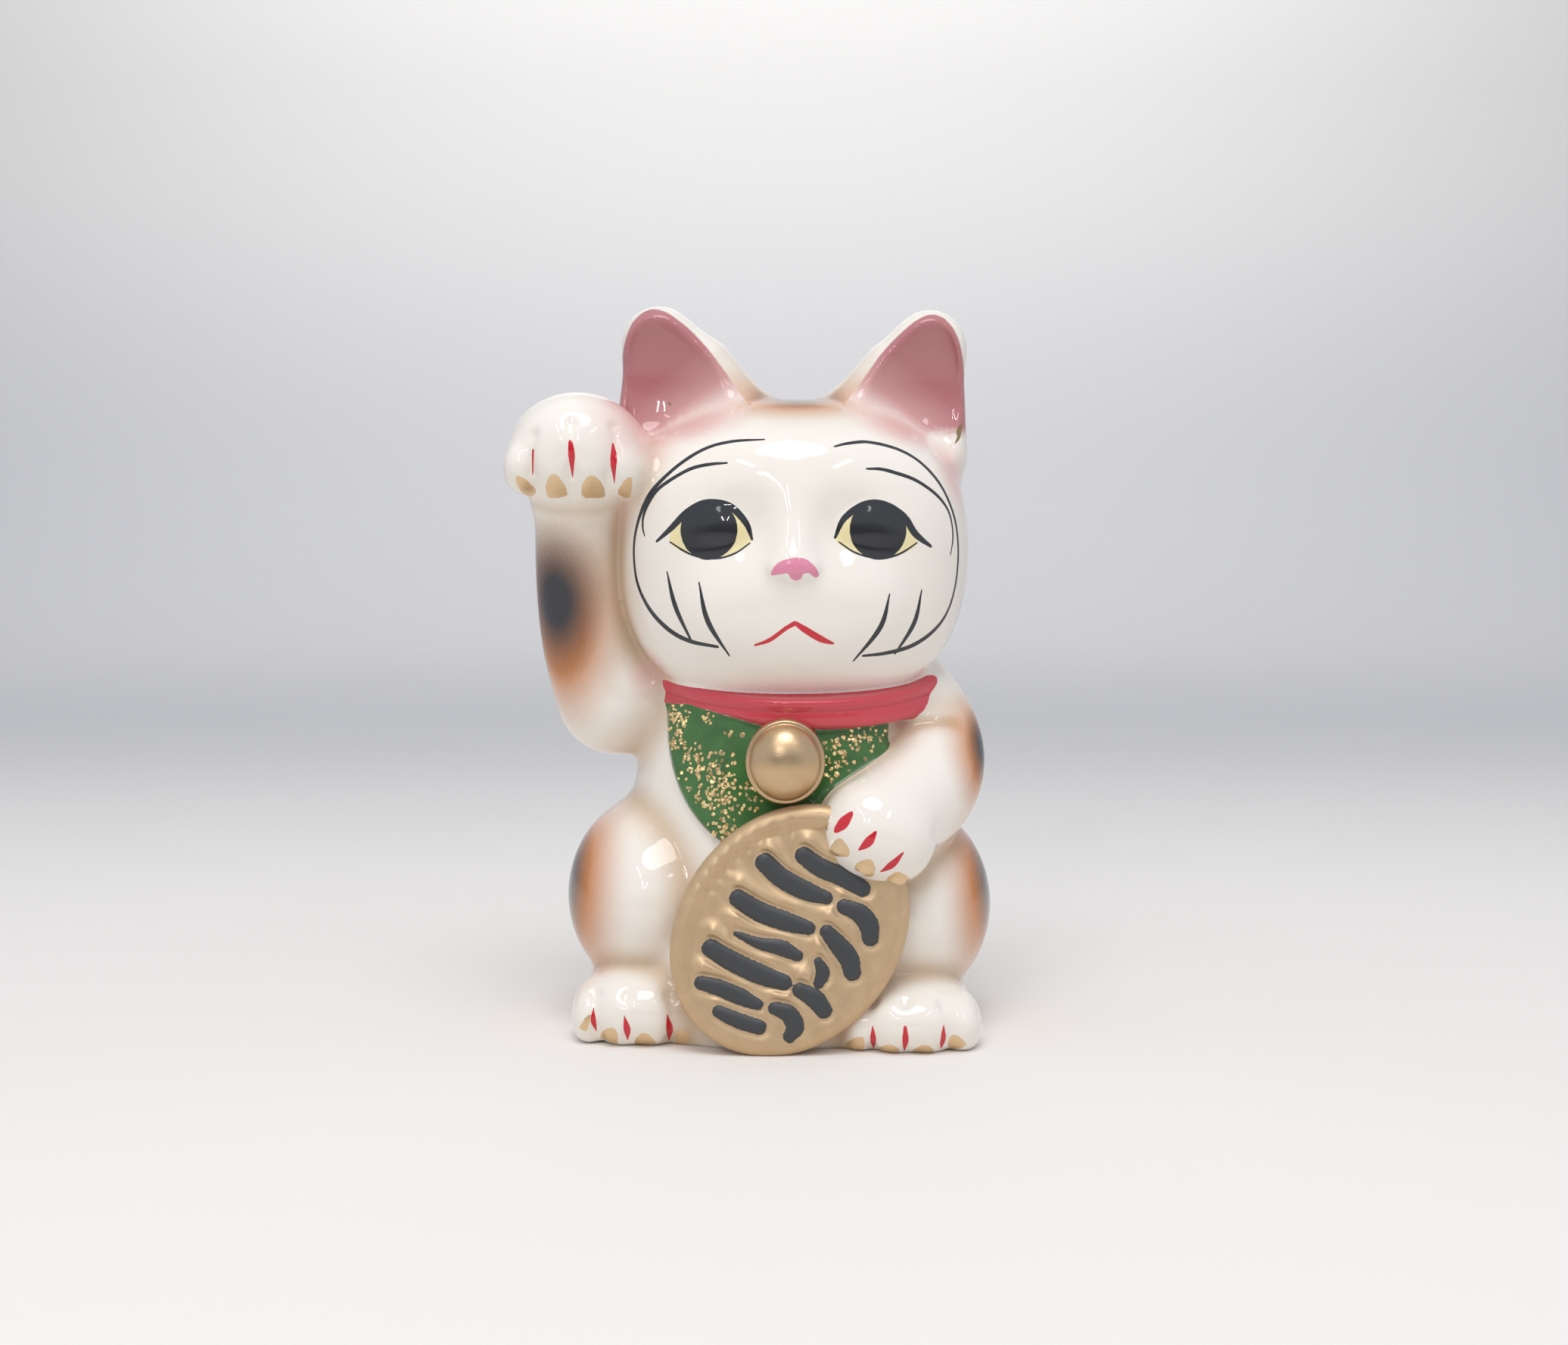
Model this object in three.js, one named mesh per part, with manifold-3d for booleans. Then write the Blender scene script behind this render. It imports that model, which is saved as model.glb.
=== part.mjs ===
// Lucky cat coin bank: a hollow, slip-cast and glazed ceramic cat that sits up, beckons with one
// paw and steadies an oval gold coin with the other. A soft stopper closes the hole in its base.
// Millimetres, +Z up. The cat looks along -Y, and its raised paw is on the -X side.

import * as THREE from "three";
import { mergeVertices } from "three/addons/utils/BufferGeometryUtils.js";
import { SimplifyModifier } from "three/addons/modifiers/SimplifyModifier.js";
import Module from "manifold-3d";

// The clay is measured from a point on the floor under the body; the part's own origin is the
// middle of its footprint box, this far from that point.
const MIDDLE = { x: 1.59, y: 1.32 };

// Every lump of clay is a centre and three half sizes; "power" above 2 makes it squarer.
const FACE_X = 11.8; // the middle line of the face
const SKULL = { at: [FACE_X, 0, 118], half: [44.2, 36, 37.8], power: 2.45 };
const JOWLS = { at: [FACE_X, -11.5, 101.5], half: [37, 25, 19.5], power: 2.4 };
const MUZZLE = { at: [FACE_X, -31, 104.5], half: [22, 8.6, 13] };
const NOSE = { at: [FACE_X, -39.6, 115], half: [5.6, 3, 3] };
const NOSE_BRIDGE = { from: [FACE_X, -30.5, 131], to: [FACE_X, -37.8, 117], radius: 3.8 };

// Eyes are given to the side of the face's middle line, for the two alike.
const EYE_SOCKET = { at: [19.5, -43.4, 126], half: [15.5, 9.2, 11] };
const EYEBALL = { at: [19.2, -27.7, 123.6], half: [12.5, 5.9, 9], yaw: 18 };

// An ear is two tapering rolls from its foot corners to its tip, dished by a large ball.
const EARS = [
  {
    tip: [-20.2, 2, 171],
    inner: [2.5, 3, 150],
    outer: [-22.5, 3, 146],
    dish: [-12.5, -4.8, 160],
    yaw: 14,
  },
  {
    tip: [44.8, 2, 169.9],
    inner: [22.5, 3, 150],
    outer: [45.6, 3, 143],
    dish: [37, -4.8, 159],
    yaw: -14,
  },
];
const EAR_TIP_RADIUS = 8.1;
const EAR_FOOT_RADIUS = 10;
const EAR_DISH_RADIUS = 34;

const CHEST = { at: [10.5, 2, 66], half: [37, 34, 38] };
const BELLY = { at: [9, 5, 30], half: [44, 43, 44] };
const LAP = { at: [9, -14, 8], half: [34, 29, 26], power: 2.6 }; // fills the space behind the coin
const THIGHS = [
  { at: [-23, -2, 31], half: [22.3, 33, 25] },
  { at: [39.5, -4, 29], half: [22.4, 34, 25.5] },
];
const FEET = [
  { at: [-25.5, -22, 7.5], half: [15, 20.5, 10.6], power: 2.3 },
  { at: [39.8, -28, 6.5], half: [16.1, 21.5, 9.8], power: 2.3 },
];
const FOOT_TOES = [
  { at: [-26, -32.5, 6], reach: 15.5, half: [4.6, 9, 7.6], setback: 2.5 },
  { at: [40, -39.5, 5.2], reach: 16.5, half: [4.8, 9, 7.2], setback: 2.5 },
];
const TAIL = { from: [6, 41, 9], towards: [24, 49, 9], to: [28, 40, 30], radii: [8, 8.5, 6.5] };

// A limb runs along a curve: from its root, towards a point beside it, to its end.
const UPPER_ARM = { from: [-10, 2, 80], to: [-33, 1, 81.5], radii: [14.5, 15] };
const FOREARM = {
  from: [-33, 1, 81.5],
  towards: [-43, -3, 94],
  to: [-41.3, -10, 128],
  radii: [15, 10.8, 10.8],
};
const RAISED_PAW = { at: [-41.5, -17.5, 143.5], half: [17, 15.5, 14] };
const PAW_TOES = { at: [-41.8, -26, 138.8], reach: 16.2, half: [4.5, 6.8, 6], setback: 3.5 };
const RESTING_ARM = {
  from: [36.5, 0, 81],
  towards: [56.5, -7, 62],
  to: [30.6, -36, 52],
  radii: [15, 15, 12.8],
};
const HOLLOW_ARM = { towards: [49, -4, 69], to: [43.5, -14, 60] }; // how far the hollow follows it
const TOES = 4;

const COLLAR = { at: [13, 1, 84.5], pitch: 8, half: [35.2, 35.5], width: 7.4, edge: 1.2 };
const BIB = { at: [8, 84], half: [28, 39.5], thick: 1.6, front: -8 };
const BELL = { at: [9.8, -37, 69.2], half: [9.8, 9.8, 9.9] };
const COIN = {
  at: [11, -43.5, 29.2],
  pitch: -7.5,
  lean: 38,
  half: [26.3, 32],
  thick: 16,
  behind: 5,
  edge: 1.6,
};
const COIN_FIELD = { share: 0.93, deep: 0.6, edge: 1.2 };

// How softly each lump runs into what it stands on, as the reach of the fillet to either side
const FILLET = {
  jowls: 6,
  earRolls: 5,
  ear: 6,
  earDish: 1.4,
  earFloor: 1.5,
  eyeSocket: 7,
  noseBridge: 6,
  muzzle: 9,
  nose: 2,
  eyeball: 1.2,
  upperArm: 2,
  pawToes: 3.2,
  paw: 4,
  chest: 12,
  lap: 4,
  thighs: 4,
  footToes: 3,
  tail: 2.5,
  feet: 3.5,
  bib: 0.8,
  bibEdge: 1.2,
  collar: 2,
  restingArm: 3,
  raisedArm: 4,
  head: 3,
  coin: 3,
  bell: 2,
  hollow: 4,
  hollowFloor: 2,
};

// The shell and its two openings
const WALL = 4;
const FOOT_ROUNDING = 1.5;
const BASE_RECESS = { at: [9, 4], radius: 20, deep: 2.4 };
const POUR_HOLE_RADIUS = 12;
const SLOT = { at: [10.5, 62], long: 34, high: 5.6, from: 20, to: 52 };
const STOPPER = {
  flange: 15,
  neck: 11.7,
  barb: 12.9,
  nose: 10.2,
  wall: 3.2,
  under: 0.8,
  bevel: 0.4,
  web: 0.6,
  top: 10.6,
};
const CLEARANCE = 0.3;

// Where the skin is looked for, how finely, and how many corners the two skins keep
const AROUND = { low: [-66, -56, -4], high: [68, 58, 184] };
const SKIN_STEP = 1.3;
const HOLLOW_STEP = 2.6;
const SKIN_CORNERS = 3380;
const HOLLOW_CORNERS = 760;
const MORE_CORNERS = 30;
const ROUND_SIDES = 28;

// Lumps of clay. Each is a function that gives the distance from a point to its surface, negative
// inside.
const length = (a, b, c = 0) => Math.sqrt(a * a + b * b + c * c);
const clamp = THREE.MathUtils.clamp;

function blob({ at, half, power = 2 }) {
  const [a, b, c] = half;
  return (x, y, z) => {
    const u = Math.max(Math.abs(x - at[0]) / a, 1e-6);
    const v = Math.max(Math.abs(y - at[1]) / b, 1e-6);
    const w = Math.max(Math.abs(z - at[2]) / c, 1e-6);
    if (power === 2) {
      const k = length(u, v, w);
      return (k * (k - 1)) / length(u / a, v / b, w / c);
    }
    const k = (u ** power + v ** power + w ** power) ** (1 / power);
    const q = power - 1;
    const slope = length(u ** q / a, v ** q / b, w ** q / c) * k ** -q;
    return (k - 1) / slope;
  };
}

function roll({ from, to, radii }) {
  const along = to.map((value, i) => value - from[i]);
  const square = along[0] ** 2 + along[1] ** 2 + along[2] ** 2;
  return (x, y, z) => {
    const [dx, dy, dz] = [x - from[0], y - from[1], z - from[2]];
    const t = clamp((dx * along[0] + dy * along[1] + dz * along[2]) / square, 0, 1);
    const away = length(dx - t * along[0], dy - t * along[1], dz - t * along[2]);
    return away - (radii[0] + (radii[1] - radii[0]) * t);
  };
}

// A round limb along a curve; its nearest point is found by a coarse search and Newton's steps.
function limb({ from, towards, to, radii }) {
  const start = towards.map((value, i) => 2 * (value - from[i]));
  const turn = from.map((value, i) => value - 2 * towards[i] + to[i]);
  const point = (i, t) => from[i] + t * (start[i] + t * turn[i]);
  const slope = (i, t) => start[i] + 2 * t * turn[i];
  const tries = 8;
  return (x, y, z) => {
    const away = (t) => length(point(0, t) - x, point(1, t) - y, point(2, t) - z);
    let t = 0;
    for (let i = 1; i <= tries; i++) if (away(i / tries) < away(t)) t = i / tries;
    for (let i = 0; i < 3; i++) {
      const gap = [point(0, t) - x, point(1, t) - y, point(2, t) - z];
      const go = [slope(0, t), slope(1, t), slope(2, t)];
      const first = gap[0] * go[0] + gap[1] * go[1] + gap[2] * go[2];
      const bend = 2 * (gap[0] * turn[0] + gap[1] * turn[1] + gap[2] * turn[2]);
      const second = go[0] ** 2 + go[1] ** 2 + go[2] ** 2 + bend;
      t = clamp(t - first / (Math.abs(second) < 1e-6 ? 1e-6 : second), 0, 1);
    }
    const s = 1 - t;
    return away(t) - (s * s * radii[0] + 2 * s * t * radii[1] + t * t * radii[2]);
  };
}

// A flat plate with a rounded edge, from the distances to its side and to its faces
function plate(side, face, edge) {
  const [a, b] = [side + edge, face + edge];
  return Math.min(Math.max(a, b), 0) + length(Math.max(a, 0), Math.max(b, 0)) - edge;
}

// The form in axes of its own, turned about its own centre by these degrees
function placed(at, { yaw = 0, pitch = 0, lean = 0 }, form) {
  const [p, r, w] = [pitch, lean, yaw].map(THREE.MathUtils.degToRad);
  const m = new THREE.Matrix4().makeRotationFromEuler(new THREE.Euler(p, r, w, "ZXY")).elements;
  return (x, y, z) => {
    const [a, b, c] = [x - at[0], y - at[1], z - at[2]];
    return form(
      a * m[0] + b * m[1] + c * m[2],
      a * m[4] + b * m[5] + c * m[6],
      a * m[8] + b * m[9] + c * m[10],
    );
  };
}

// Two surfaces meet in a fillet that starts "soft" away from both, with no crease at its edges.
const FILLET_REACH = 1.5;
function blend(a, b, soft) {
  const reach = soft * FILLET_REACH;
  const h = Math.max(reach - Math.abs(a - b), 0) / reach;
  return Math.min(a, b) - (h * h * h * reach) / 6;
}
const join = (soft, a, b) => (x, y, z) => blend(a(x, y, z), b(x, y, z), soft);
const carve = (soft, a, b) => (x, y, z) => -blend(-a(x, y, z), b(x, y, z), soft);
const common = (soft, a, b) => (x, y, z) => -blend(-a(x, y, z), -b(x, y, z), soft);
const nearest = (forms) => (x, y, z) => Math.min(...forms.map((form) => form(x, y, z)));
const bothSides = (form) => (x, y, z) => form(Math.abs(x - FACE_X), y, z);
const grown = (form, by) => (x, y, z) => form(x, y, z) - by;

// A row of toes across the front of a foot or paw; the outer ones stand back a little.
function toes({ at, reach, half, setback }) {
  const row = [];
  for (let i = 0; i < TOES; i++) {
    const t = ((i + 0.5) / TOES) * 2 - 1;
    row.push(blob({ at: [at[0] + t * reach, at[1] + Math.abs(t) * setback, at[2]], half }));
  }
  return nearest(row);
}

const skull = join(FILLET.jowls, blob(SKULL), blob(JOWLS));

function ear({ tip, inner, outer }) {
  const radii = [EAR_FOOT_RADIUS, EAR_TIP_RADIUS];
  const [outerRoll, innerRoll] = [outer, inner].map((from) => roll({ from, to: tip, radii }));
  return join(FILLET.earRolls, outerRoll, innerRoll);
}

function earDish({ dish, yaw }) {
  const angle = THREE.MathUtils.degToRad(yaw);
  const away = EAR_DISH_RADIUS;
  const at = [dish[0] - away * Math.sin(angle), dish[1] - away * Math.cos(angle), dish[2]];
  return carve(FILLET.earFloor, blob({ at, half: [away, away, away] }), skull);
}

const bareHead = EARS.reduce((form, side) => join(FILLET.ear, form, ear(side)), skull);

function head() {
  const dished = (form, side) => carve(FILLET.earDish, form, earDish(side));
  let form = EARS.reduce(dished, bareHead);
  form = carve(FILLET.eyeSocket, form, bothSides(blob(EYE_SOCKET)));
  const { from, to, radius } = NOSE_BRIDGE;
  form = join(FILLET.noseBridge, form, roll({ from, to, radii: [radius, radius] }));
  form = join(FILLET.muzzle, form, blob(MUZZLE));
  form = join(FILLET.nose, form, blob(NOSE));
  const eyeball = placed(EYEBALL.at, EYEBALL, blob({ at: [0, 0, 0], half: EYEBALL.half }));
  return join(FILLET.eyeball, form, bothSides(eyeball));
}

const bareArm = join(FILLET.upperArm, limb(FOREARM), roll(UPPER_ARM));
const raisedPaw = join(FILLET.pawToes, blob(RAISED_PAW), toes(PAW_TOES));
const raisedArm = join(FILLET.paw, bareArm, raisedPaw);
const restingArm = limb(RESTING_ARM);
const restingArmRoot = limb({ ...RESTING_ARM, ...HOLLOW_ARM });
const torso = join(FILLET.chest, blob(BELLY), blob(CHEST));
const lap = join(FILLET.lap, torso, blob(LAP));
const seat = join(FILLET.thighs, lap, nearest(THIGHS.map(blob)));
const feet = nearest(FEET.map((foot, i) => join(FILLET.footToes, blob(foot), toes(FOOT_TOES[i]))));

// The collar is a flat band round the neck, tipped forwards.
const collar = placed(COLLAR.at, COLLAR, (x, y, z) => {
  const out = length(x / COLLAR.half[0], y / COLLAR.half[1]);
  return plate((out - 1) * COLLAR.half[0], Math.abs(z) - COLLAR.width / 2, COLLAR.edge);
});

// The bib lies on the chest as a thin cloth with a half-round lower edge.
function bib() {
  const outline = (x, y, z) => {
    const out = length((x - BIB.at[0]) / BIB.half[0], (z - BIB.at[1]) / BIB.half[1]);
    return (out - 1) * BIB.half[0];
  };
  const cloth = common(FILLET.bibEdge, grown(torso, BIB.thick), outline);
  return common(FILLET.bibEdge, cloth, (x, y) => y - BIB.front);
}

// The coin is an oval plate with a raised rim round its sunk field.
const coin = placed(COIN.at, COIN, (x, y, z) => {
  const out = length(x / COIN.half[0], z / COIN.half[1]);
  const round = (COIN.half[0] + COIN.half[1]) / 2;
  const face = Math.abs(y - COIN.behind) - COIN.thick / 2;
  const body = plate((out - 1) * round, face, COIN.edge);
  const fieldFront = COIN.behind - COIN.thick / 2 + COIN_FIELD.deep;
  const field = plate((out - COIN_FIELD.share) * round, y - fieldFront, COIN_FIELD.edge);
  return -blend(-body, field, COIN_FIELD.edge);
});

const onFloor = (form) => common(FOOT_ROUNDING, form, (x, y, z) => -z - CLEARANCE);

const cat = onFloor(
  [
    [FILLET.tail, limb(TAIL)],
    [FILLET.feet, feet],
    [FILLET.bib, bib()],
    [FILLET.collar, collar],
    [FILLET.restingArm, restingArm],
    [FILLET.raisedArm, raisedArm],
    [FILLET.head, head()],
    [FILLET.coin, coin],
    [FILLET.bell, blob(BELL)],
  ].reduce((form, [soft, lump]) => join(soft, form, lump), seat),
);

// The hollow follows the large forms one wall inside them, and has a flat floor.
const largeForms = [restingArmRoot, bareArm, skull].reduce(
  (form, lump) => join(FILLET.hollow, form, lump),
  seat,
);
const hollowFloor = (x, y, z) => BASE_RECESS.deep + WALL - z;
const hollow = common(FILLET.hollowFloor, grown(largeForms, -WALL), hollowFloor);

// Samples are taken in blocks of this many, and one that lies further from the surface than this
// many blocks stands for its whole block.
const BLOCK = 4;
const NEAR_BLOCKS = 2.2;

// Skins a form: one corner in each cell that the surface crosses, one square round each edge that
// crosses it, and each corner then slid onto the surface.
function skin(form, step) {
  const { low, high } = AROUND;
  const count = low.map((value, i) => Math.ceil((high[i] - value) / step) + 1);
  const stride = [1, count[0], count[0] * count[1]];
  const place = (i, axis) => low[axis] + step * (Math.floor(i / stride[axis]) % count[axis]);
  const total = count[0] * count[1] * count[2];
  const value = new Float32Array(total);
  const far = step * BLOCK;
  for (let i = 0; i < total; i++) {
    const cell = stride.map((run, axis) => Math.floor(i / run) % count[axis]);
    const lead = cell.map((n) => n - (n % BLOCK));
    const first = lead[0] * stride[0] + lead[1] * stride[1] + lead[2] * stride[2];
    const nearby = first === i || Math.abs(value[first]) < NEAR_BLOCKS * far;
    value[i] = nearby ? form(...cell.map((n, axis) => low[axis] + step * n)) : value[first];
  }
  fillPinches(value, stride);

  const cellCorners = [0, 1, 2, 3, 4, 5, 6, 7].map((n) => [n & 1, (n >> 1) & 1, n >> 2]);
  const offsets = cellCorners.map(([a, b, c]) => a * stride[0] + b * stride[1] + c * stride[2]);
  const cornerOf = new Int32Array(total).fill(-1);
  const corners = [];
  for (let i = 0; i + offsets[7] < total; i++) {
    const inside = offsets.filter((offset) => value[i + offset] < 0).length;
    if (inside === 0 || inside === 8) continue;
    const sum = [0, 0, 0];
    let crossings = 0;
    for (let n = 0; n < 8; n++)
      for (let axis = 0; axis < 3; axis++) {
        if (cellCorners[n][axis]) continue;
        const [a, b] = [value[i + offsets[n]], value[i + offsets[n] + stride[axis]]];
        if (a < 0 === b < 0) continue;
        for (let k = 0; k < 3; k++) sum[k] += cellCorners[n][k];
        sum[axis] += a / (a - b);
        crossings += 1;
      }
    cornerOf[i] = corners.length;
    corners.push(sum.map((s, axis) => place(i, axis) + (s / crossings) * step));
  }

  const index = [];
  for (let i = stride[2]; i + stride[2] < total; i++)
    for (let axis = 0; axis < 3; axis++) {
      if (value[i] < 0 === value[i + stride[axis]] < 0) continue;
      const [b, c] = [stride[(axis + 1) % 3], stride[(axis + 2) % 3]];
      const ring = [i, i - b, i - b - c, i - c].map((cell) => cornerOf[cell]);
      if (!(value[i] < 0)) ring.reverse();
      index.push(ring[0], ring[1], ring[2], ring[0], ring[2], ring[3]);
    }

  const positions = new Float32Array(corners.flatMap((corner) => slid(form, corner, step)));
  const geometry = new THREE.BufferGeometry();
  geometry.setAttribute("position", new THREE.BufferAttribute(positions, 3));
  geometry.setIndex(index);
  return geometry;
}

// Where clay meets clay only across a square's diagonal, the nearer of the two gaps is filled, so
// that no edge of the skin is shared by more than two faces.
function fillPinches(value, stride) {
  const last = value.length - stride[1] - stride[2];
  let filled = true;
  while (filled) {
    filled = false;
    for (let i = 0; i < last; i++)
      for (let axis = 0; axis < 3; axis++) {
        const [u, v] = [stride[(axis + 1) % 3], stride[(axis + 2) % 3]];
        const first = value[i] < 0;
        if (value[i + u + v] < 0 !== first) continue;
        if (value[i + u] < 0 === first || value[i + v] < 0 === first) continue;
        const [p, q] = first ? [i + u, i + v] : [i, i + u + v];
        value[value[p] < value[q] ? p : q] = -1e-3;
        filled = true;
      }
  }
}

function slid(form, corner, step) {
  const h = 0.1;
  const [x0, y0, z0] = corner;
  let [x, y, z] = corner;
  for (let round = 0; round < 3; round++) {
    const g = [
      form(x + h, y, z) - form(x - h, y, z),
      form(x, y + h, z) - form(x, y - h, z),
      form(x, y, z + h) - form(x, y, z - h),
    ].map((difference) => difference / (2 * h));
    const move = form(x, y, z) / Math.max(g[0] ** 2 + g[1] ** 2 + g[2] ** 2, 0.2);
    [x, y, z] = [x - g[0] * move, y - g[1] * move, z - g[2] * move];
  }
  const far = length(x - x0, y - y0, z - z0);
  return far > step ? corner : [x, y, z];
}

// Thins a skin to about this many corners, or a few more where an edge would be shared by four faces.
async function thinned(geometry, corners) {
  const extra = geometry.attributes.position.count - corners;
  const thin = await new SimplifyModifier().modify(geometry, extra);
  return isTwoSided(thin) ? thin : thinned(geometry, corners + MORE_CORNERS);
}

function isTwoSided(geometry) {
  const index = geometry.index.array;
  const size = geometry.attributes.position.count;
  const edges = new Set();
  for (let i = 0; i < index.length; i += 3)
    for (let k = 0; k < 3; k++) edges.add(index[i + k] * size + index[i + ((k + 1) % 3)]);
  return edges.size === index.length;
}

// Joining and cutting closed meshes
const wasm = await Module();
wasm.setup();

function solid(geometry) {
  const bare = geometry.clone();
  bare.deleteAttribute("normal");
  bare.deleteAttribute("uv");
  const merged = mergeVertices(bare, 1e-4);
  return new wasm.Manifold(
    new wasm.Mesh({
      numProp: 3,
      vertProperties: new Float32Array(merged.attributes.position.array),
      triVerts: new Uint32Array(merged.index.array),
    }),
  );
}

function geometryOf(made) {
  const { numProp, vertProperties, triVerts } = made.getMesh();
  const positions = new Float32Array((vertProperties.length / numProp) * 3);
  for (let i = 0; i * 3 < positions.length; i++)
    positions.set(vertProperties.subarray(i * numProp, i * numProp + 3), i * 3);
  const geometry = new THREE.BufferGeometry();
  geometry.setAttribute("position", new THREE.BufferAttribute(positions, 3));
  geometry.setIndex(new THREE.BufferAttribute(triVerts, 1));
  geometry.computeVertexNormals();
  return geometry;
}

// A turned solid on a vertical axis, from its radius and height pairs
function turned(profile, [x, y]) {
  const points = profile.map(([r, z]) => new THREE.Vector2(r, z));
  return new THREE.LatheGeometry(points, ROUND_SIDES).rotateX(Math.PI / 2).translate(x, y, 0);
}

function baseCutter() {
  const { at, radius, deep } = BASE_RECESS;
  const below = -deep;
  const inside = deep + 2 * WALL;
  return turned(
    [
      [0, below],
      [radius, below],
      [radius, deep],
      [POUR_HOLE_RADIUS, deep],
      [POUR_HOLE_RADIUS, inside],
      [0, inside],
    ],
    at,
  );
}

// The coin slot has round ends and goes straight in through the back.
function slotCutter() {
  const r = SLOT.high / 2;
  const reach = SLOT.long / 2 - r;
  const outline = new THREE.Shape();
  outline.absarc(reach, 0, r, -Math.PI / 2, Math.PI / 2);
  outline.absarc(-reach, 0, r, Math.PI / 2, Math.PI * 1.5);
  const depth = SLOT.to - SLOT.from;
  const options = { depth, bevelEnabled: false, curveSegments: 8 };
  const cutter = new THREE.ExtrudeGeometry(outline, options).rotateX(Math.PI / 2);
  return cutter.translate(SLOT.at[0], SLOT.to, SLOT.at[1]);
}

// The stopper is a cup with a flange that lies in the recess and a barb above the base wall.
function stopperGeometry() {
  const { flange, neck, barb, nose, wall, under, bevel, web, top } = STOPPER;
  const flangeTop = BASE_RECESS.deep - CLEARANCE;
  const barbFoot = BASE_RECESS.deep + WALL + CLEARANCE;
  return turned(
    [
      [0, under],
      [flange - bevel, under],
      [flange, under + bevel],
      [flange, flangeTop - bevel],
      [flange - bevel, flangeTop],
      [neck, flangeTop],
      [neck, barbFoot],
      [barb, barbFoot + bevel],
      [barb, barbFoot + 2 * bevel],
      [nose, top],
      [nose - wall / 2, top],
      [neck - wall, barbFoot],
      [neck - wall, flangeTop + web],
      [0, flangeTop + web],
    ],
    BASE_RECESS.at,
  );
}

async function catGeometry() {
  const outer = solid(await thinned(skin(cat, SKIN_STEP), SKIN_CORNERS));
  const inner = solid(await thinned(skin(hollow, HOLLOW_STEP), HOLLOW_CORNERS));
  let made = outer.trimByPlane([0, 0, 1], 0);
  for (const cutter of [inner, solid(baseCutter()), solid(slotCutter())])
    made = made.subtract(cutter);
  return geometryOf(made);
}

const glaze = new THREE.MeshStandardMaterial({ color: 0xf3eee6, roughness: 0.12, metalness: 0 });
const rubber = new THREE.MeshStandardMaterial({ color: 0x2e2c2a, roughness: 0.75, metalness: 0 });

const catBank = new THREE.Mesh(await catGeometry(), glaze);
catBank.name = "cat_bank";

const baseStopper = new THREE.Mesh(stopperGeometry(), rubber);
baseStopper.name = "base_stopper";

const bank = new THREE.Group();
bank.position.set(-MIDDLE.x, -MIDDLE.y, 0);
bank.add(catBank, baseStopper);

export default bank;
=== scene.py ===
import math

import bmesh
import bpy
import numpy as np
from mathutils import Matrix, Vector


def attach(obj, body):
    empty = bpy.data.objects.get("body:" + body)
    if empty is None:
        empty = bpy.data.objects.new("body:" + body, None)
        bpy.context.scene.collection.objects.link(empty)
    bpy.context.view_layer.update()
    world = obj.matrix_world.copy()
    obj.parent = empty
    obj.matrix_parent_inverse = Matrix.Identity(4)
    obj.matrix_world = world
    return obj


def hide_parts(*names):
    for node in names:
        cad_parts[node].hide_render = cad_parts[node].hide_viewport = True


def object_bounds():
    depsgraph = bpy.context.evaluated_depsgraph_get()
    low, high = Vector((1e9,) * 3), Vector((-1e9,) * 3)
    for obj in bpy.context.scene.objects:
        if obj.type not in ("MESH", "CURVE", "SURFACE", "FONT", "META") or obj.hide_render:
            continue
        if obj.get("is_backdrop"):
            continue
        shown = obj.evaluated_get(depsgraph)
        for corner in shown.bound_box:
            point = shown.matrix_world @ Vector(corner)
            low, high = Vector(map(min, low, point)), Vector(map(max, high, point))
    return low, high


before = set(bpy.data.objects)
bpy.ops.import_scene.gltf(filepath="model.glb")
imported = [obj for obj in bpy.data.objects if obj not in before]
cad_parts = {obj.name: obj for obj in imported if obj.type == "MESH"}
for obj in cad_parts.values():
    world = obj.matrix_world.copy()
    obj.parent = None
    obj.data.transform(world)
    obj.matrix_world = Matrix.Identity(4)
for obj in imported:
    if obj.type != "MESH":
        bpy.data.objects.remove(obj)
cad_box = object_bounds()

# The view is the photograph's: straight at the bank's front from 600 mm away and a little above,
# wide enough to leave the bank alone in the middle of an empty sweep.
MM = 0.001
VIEW_CENTRE = Vector((8.0, -1.3, 86.9)) * MM
VIEW_DISTANCE = 600 * MM
VIEW_RISE = math.radians(5)
PHOTO_WIDTH = 2072  # pixels
FOCAL_LENGTH = 3120  # pixels of the photograph
SENSOR_WIDTH = 36

camera_data = bpy.data.cameras.new("camera")
camera_data.sensor_width = SENSOR_WIDTH
camera_data.lens = SENSOR_WIDTH * FOCAL_LENGTH / PHOTO_WIDTH
camera = bpy.data.objects.new("camera", camera_data)
camera.location = VIEW_CENTRE + VIEW_DISTANCE * Vector((0, -math.cos(VIEW_RISE), math.sin(VIEW_RISE)))
camera.rotation_euler = (math.pi / 2 - VIEW_RISE, 0, 0)
bpy.context.scene.collection.objects.link(camera)
bpy.context.scene.camera = camera
bpy.context.scene.view_settings.view_transform = "Standard"

# The bank stands on a seamless sheet of white card, which lies flat and then curves up behind it.
# It is matt and only just off white, and painted shade greys it a little behind the bank, less so higher up.
CARD_WIDTH = 6.0
CARD_FRONT, CARD_BACK = -2.5, 1.7
CARD_BEND = 0.5
CARD_TOP = 3.0
CARD_BEND_STEPS = 16
CARD_WHITE = "#f0ebe5"
CARD_SHADE = "#d2d0d0"  # painted shade: the card's colour greys a little behind the bank, less so higher up
CARD_TOP_SHADE = "#eae7e3"
CARD_SHADE_DEEPENS = {"From Min": 0.12, "From Max": 0.75}  # the painted shade deepens between these distances behind the bank, in metres
CARD_SHADE_EASES = {"From Min": 0.12, "From Max": 0.5}  # and eases between these heights above the floor, in metres
SMOOTH = {"interpolation_type": "SMOOTHSTEP"}
COLOURS = {"data_type": "RGBA"}  # such a Mix node's inputs are its factor, 0, and its colours, 6 and 7


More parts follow.
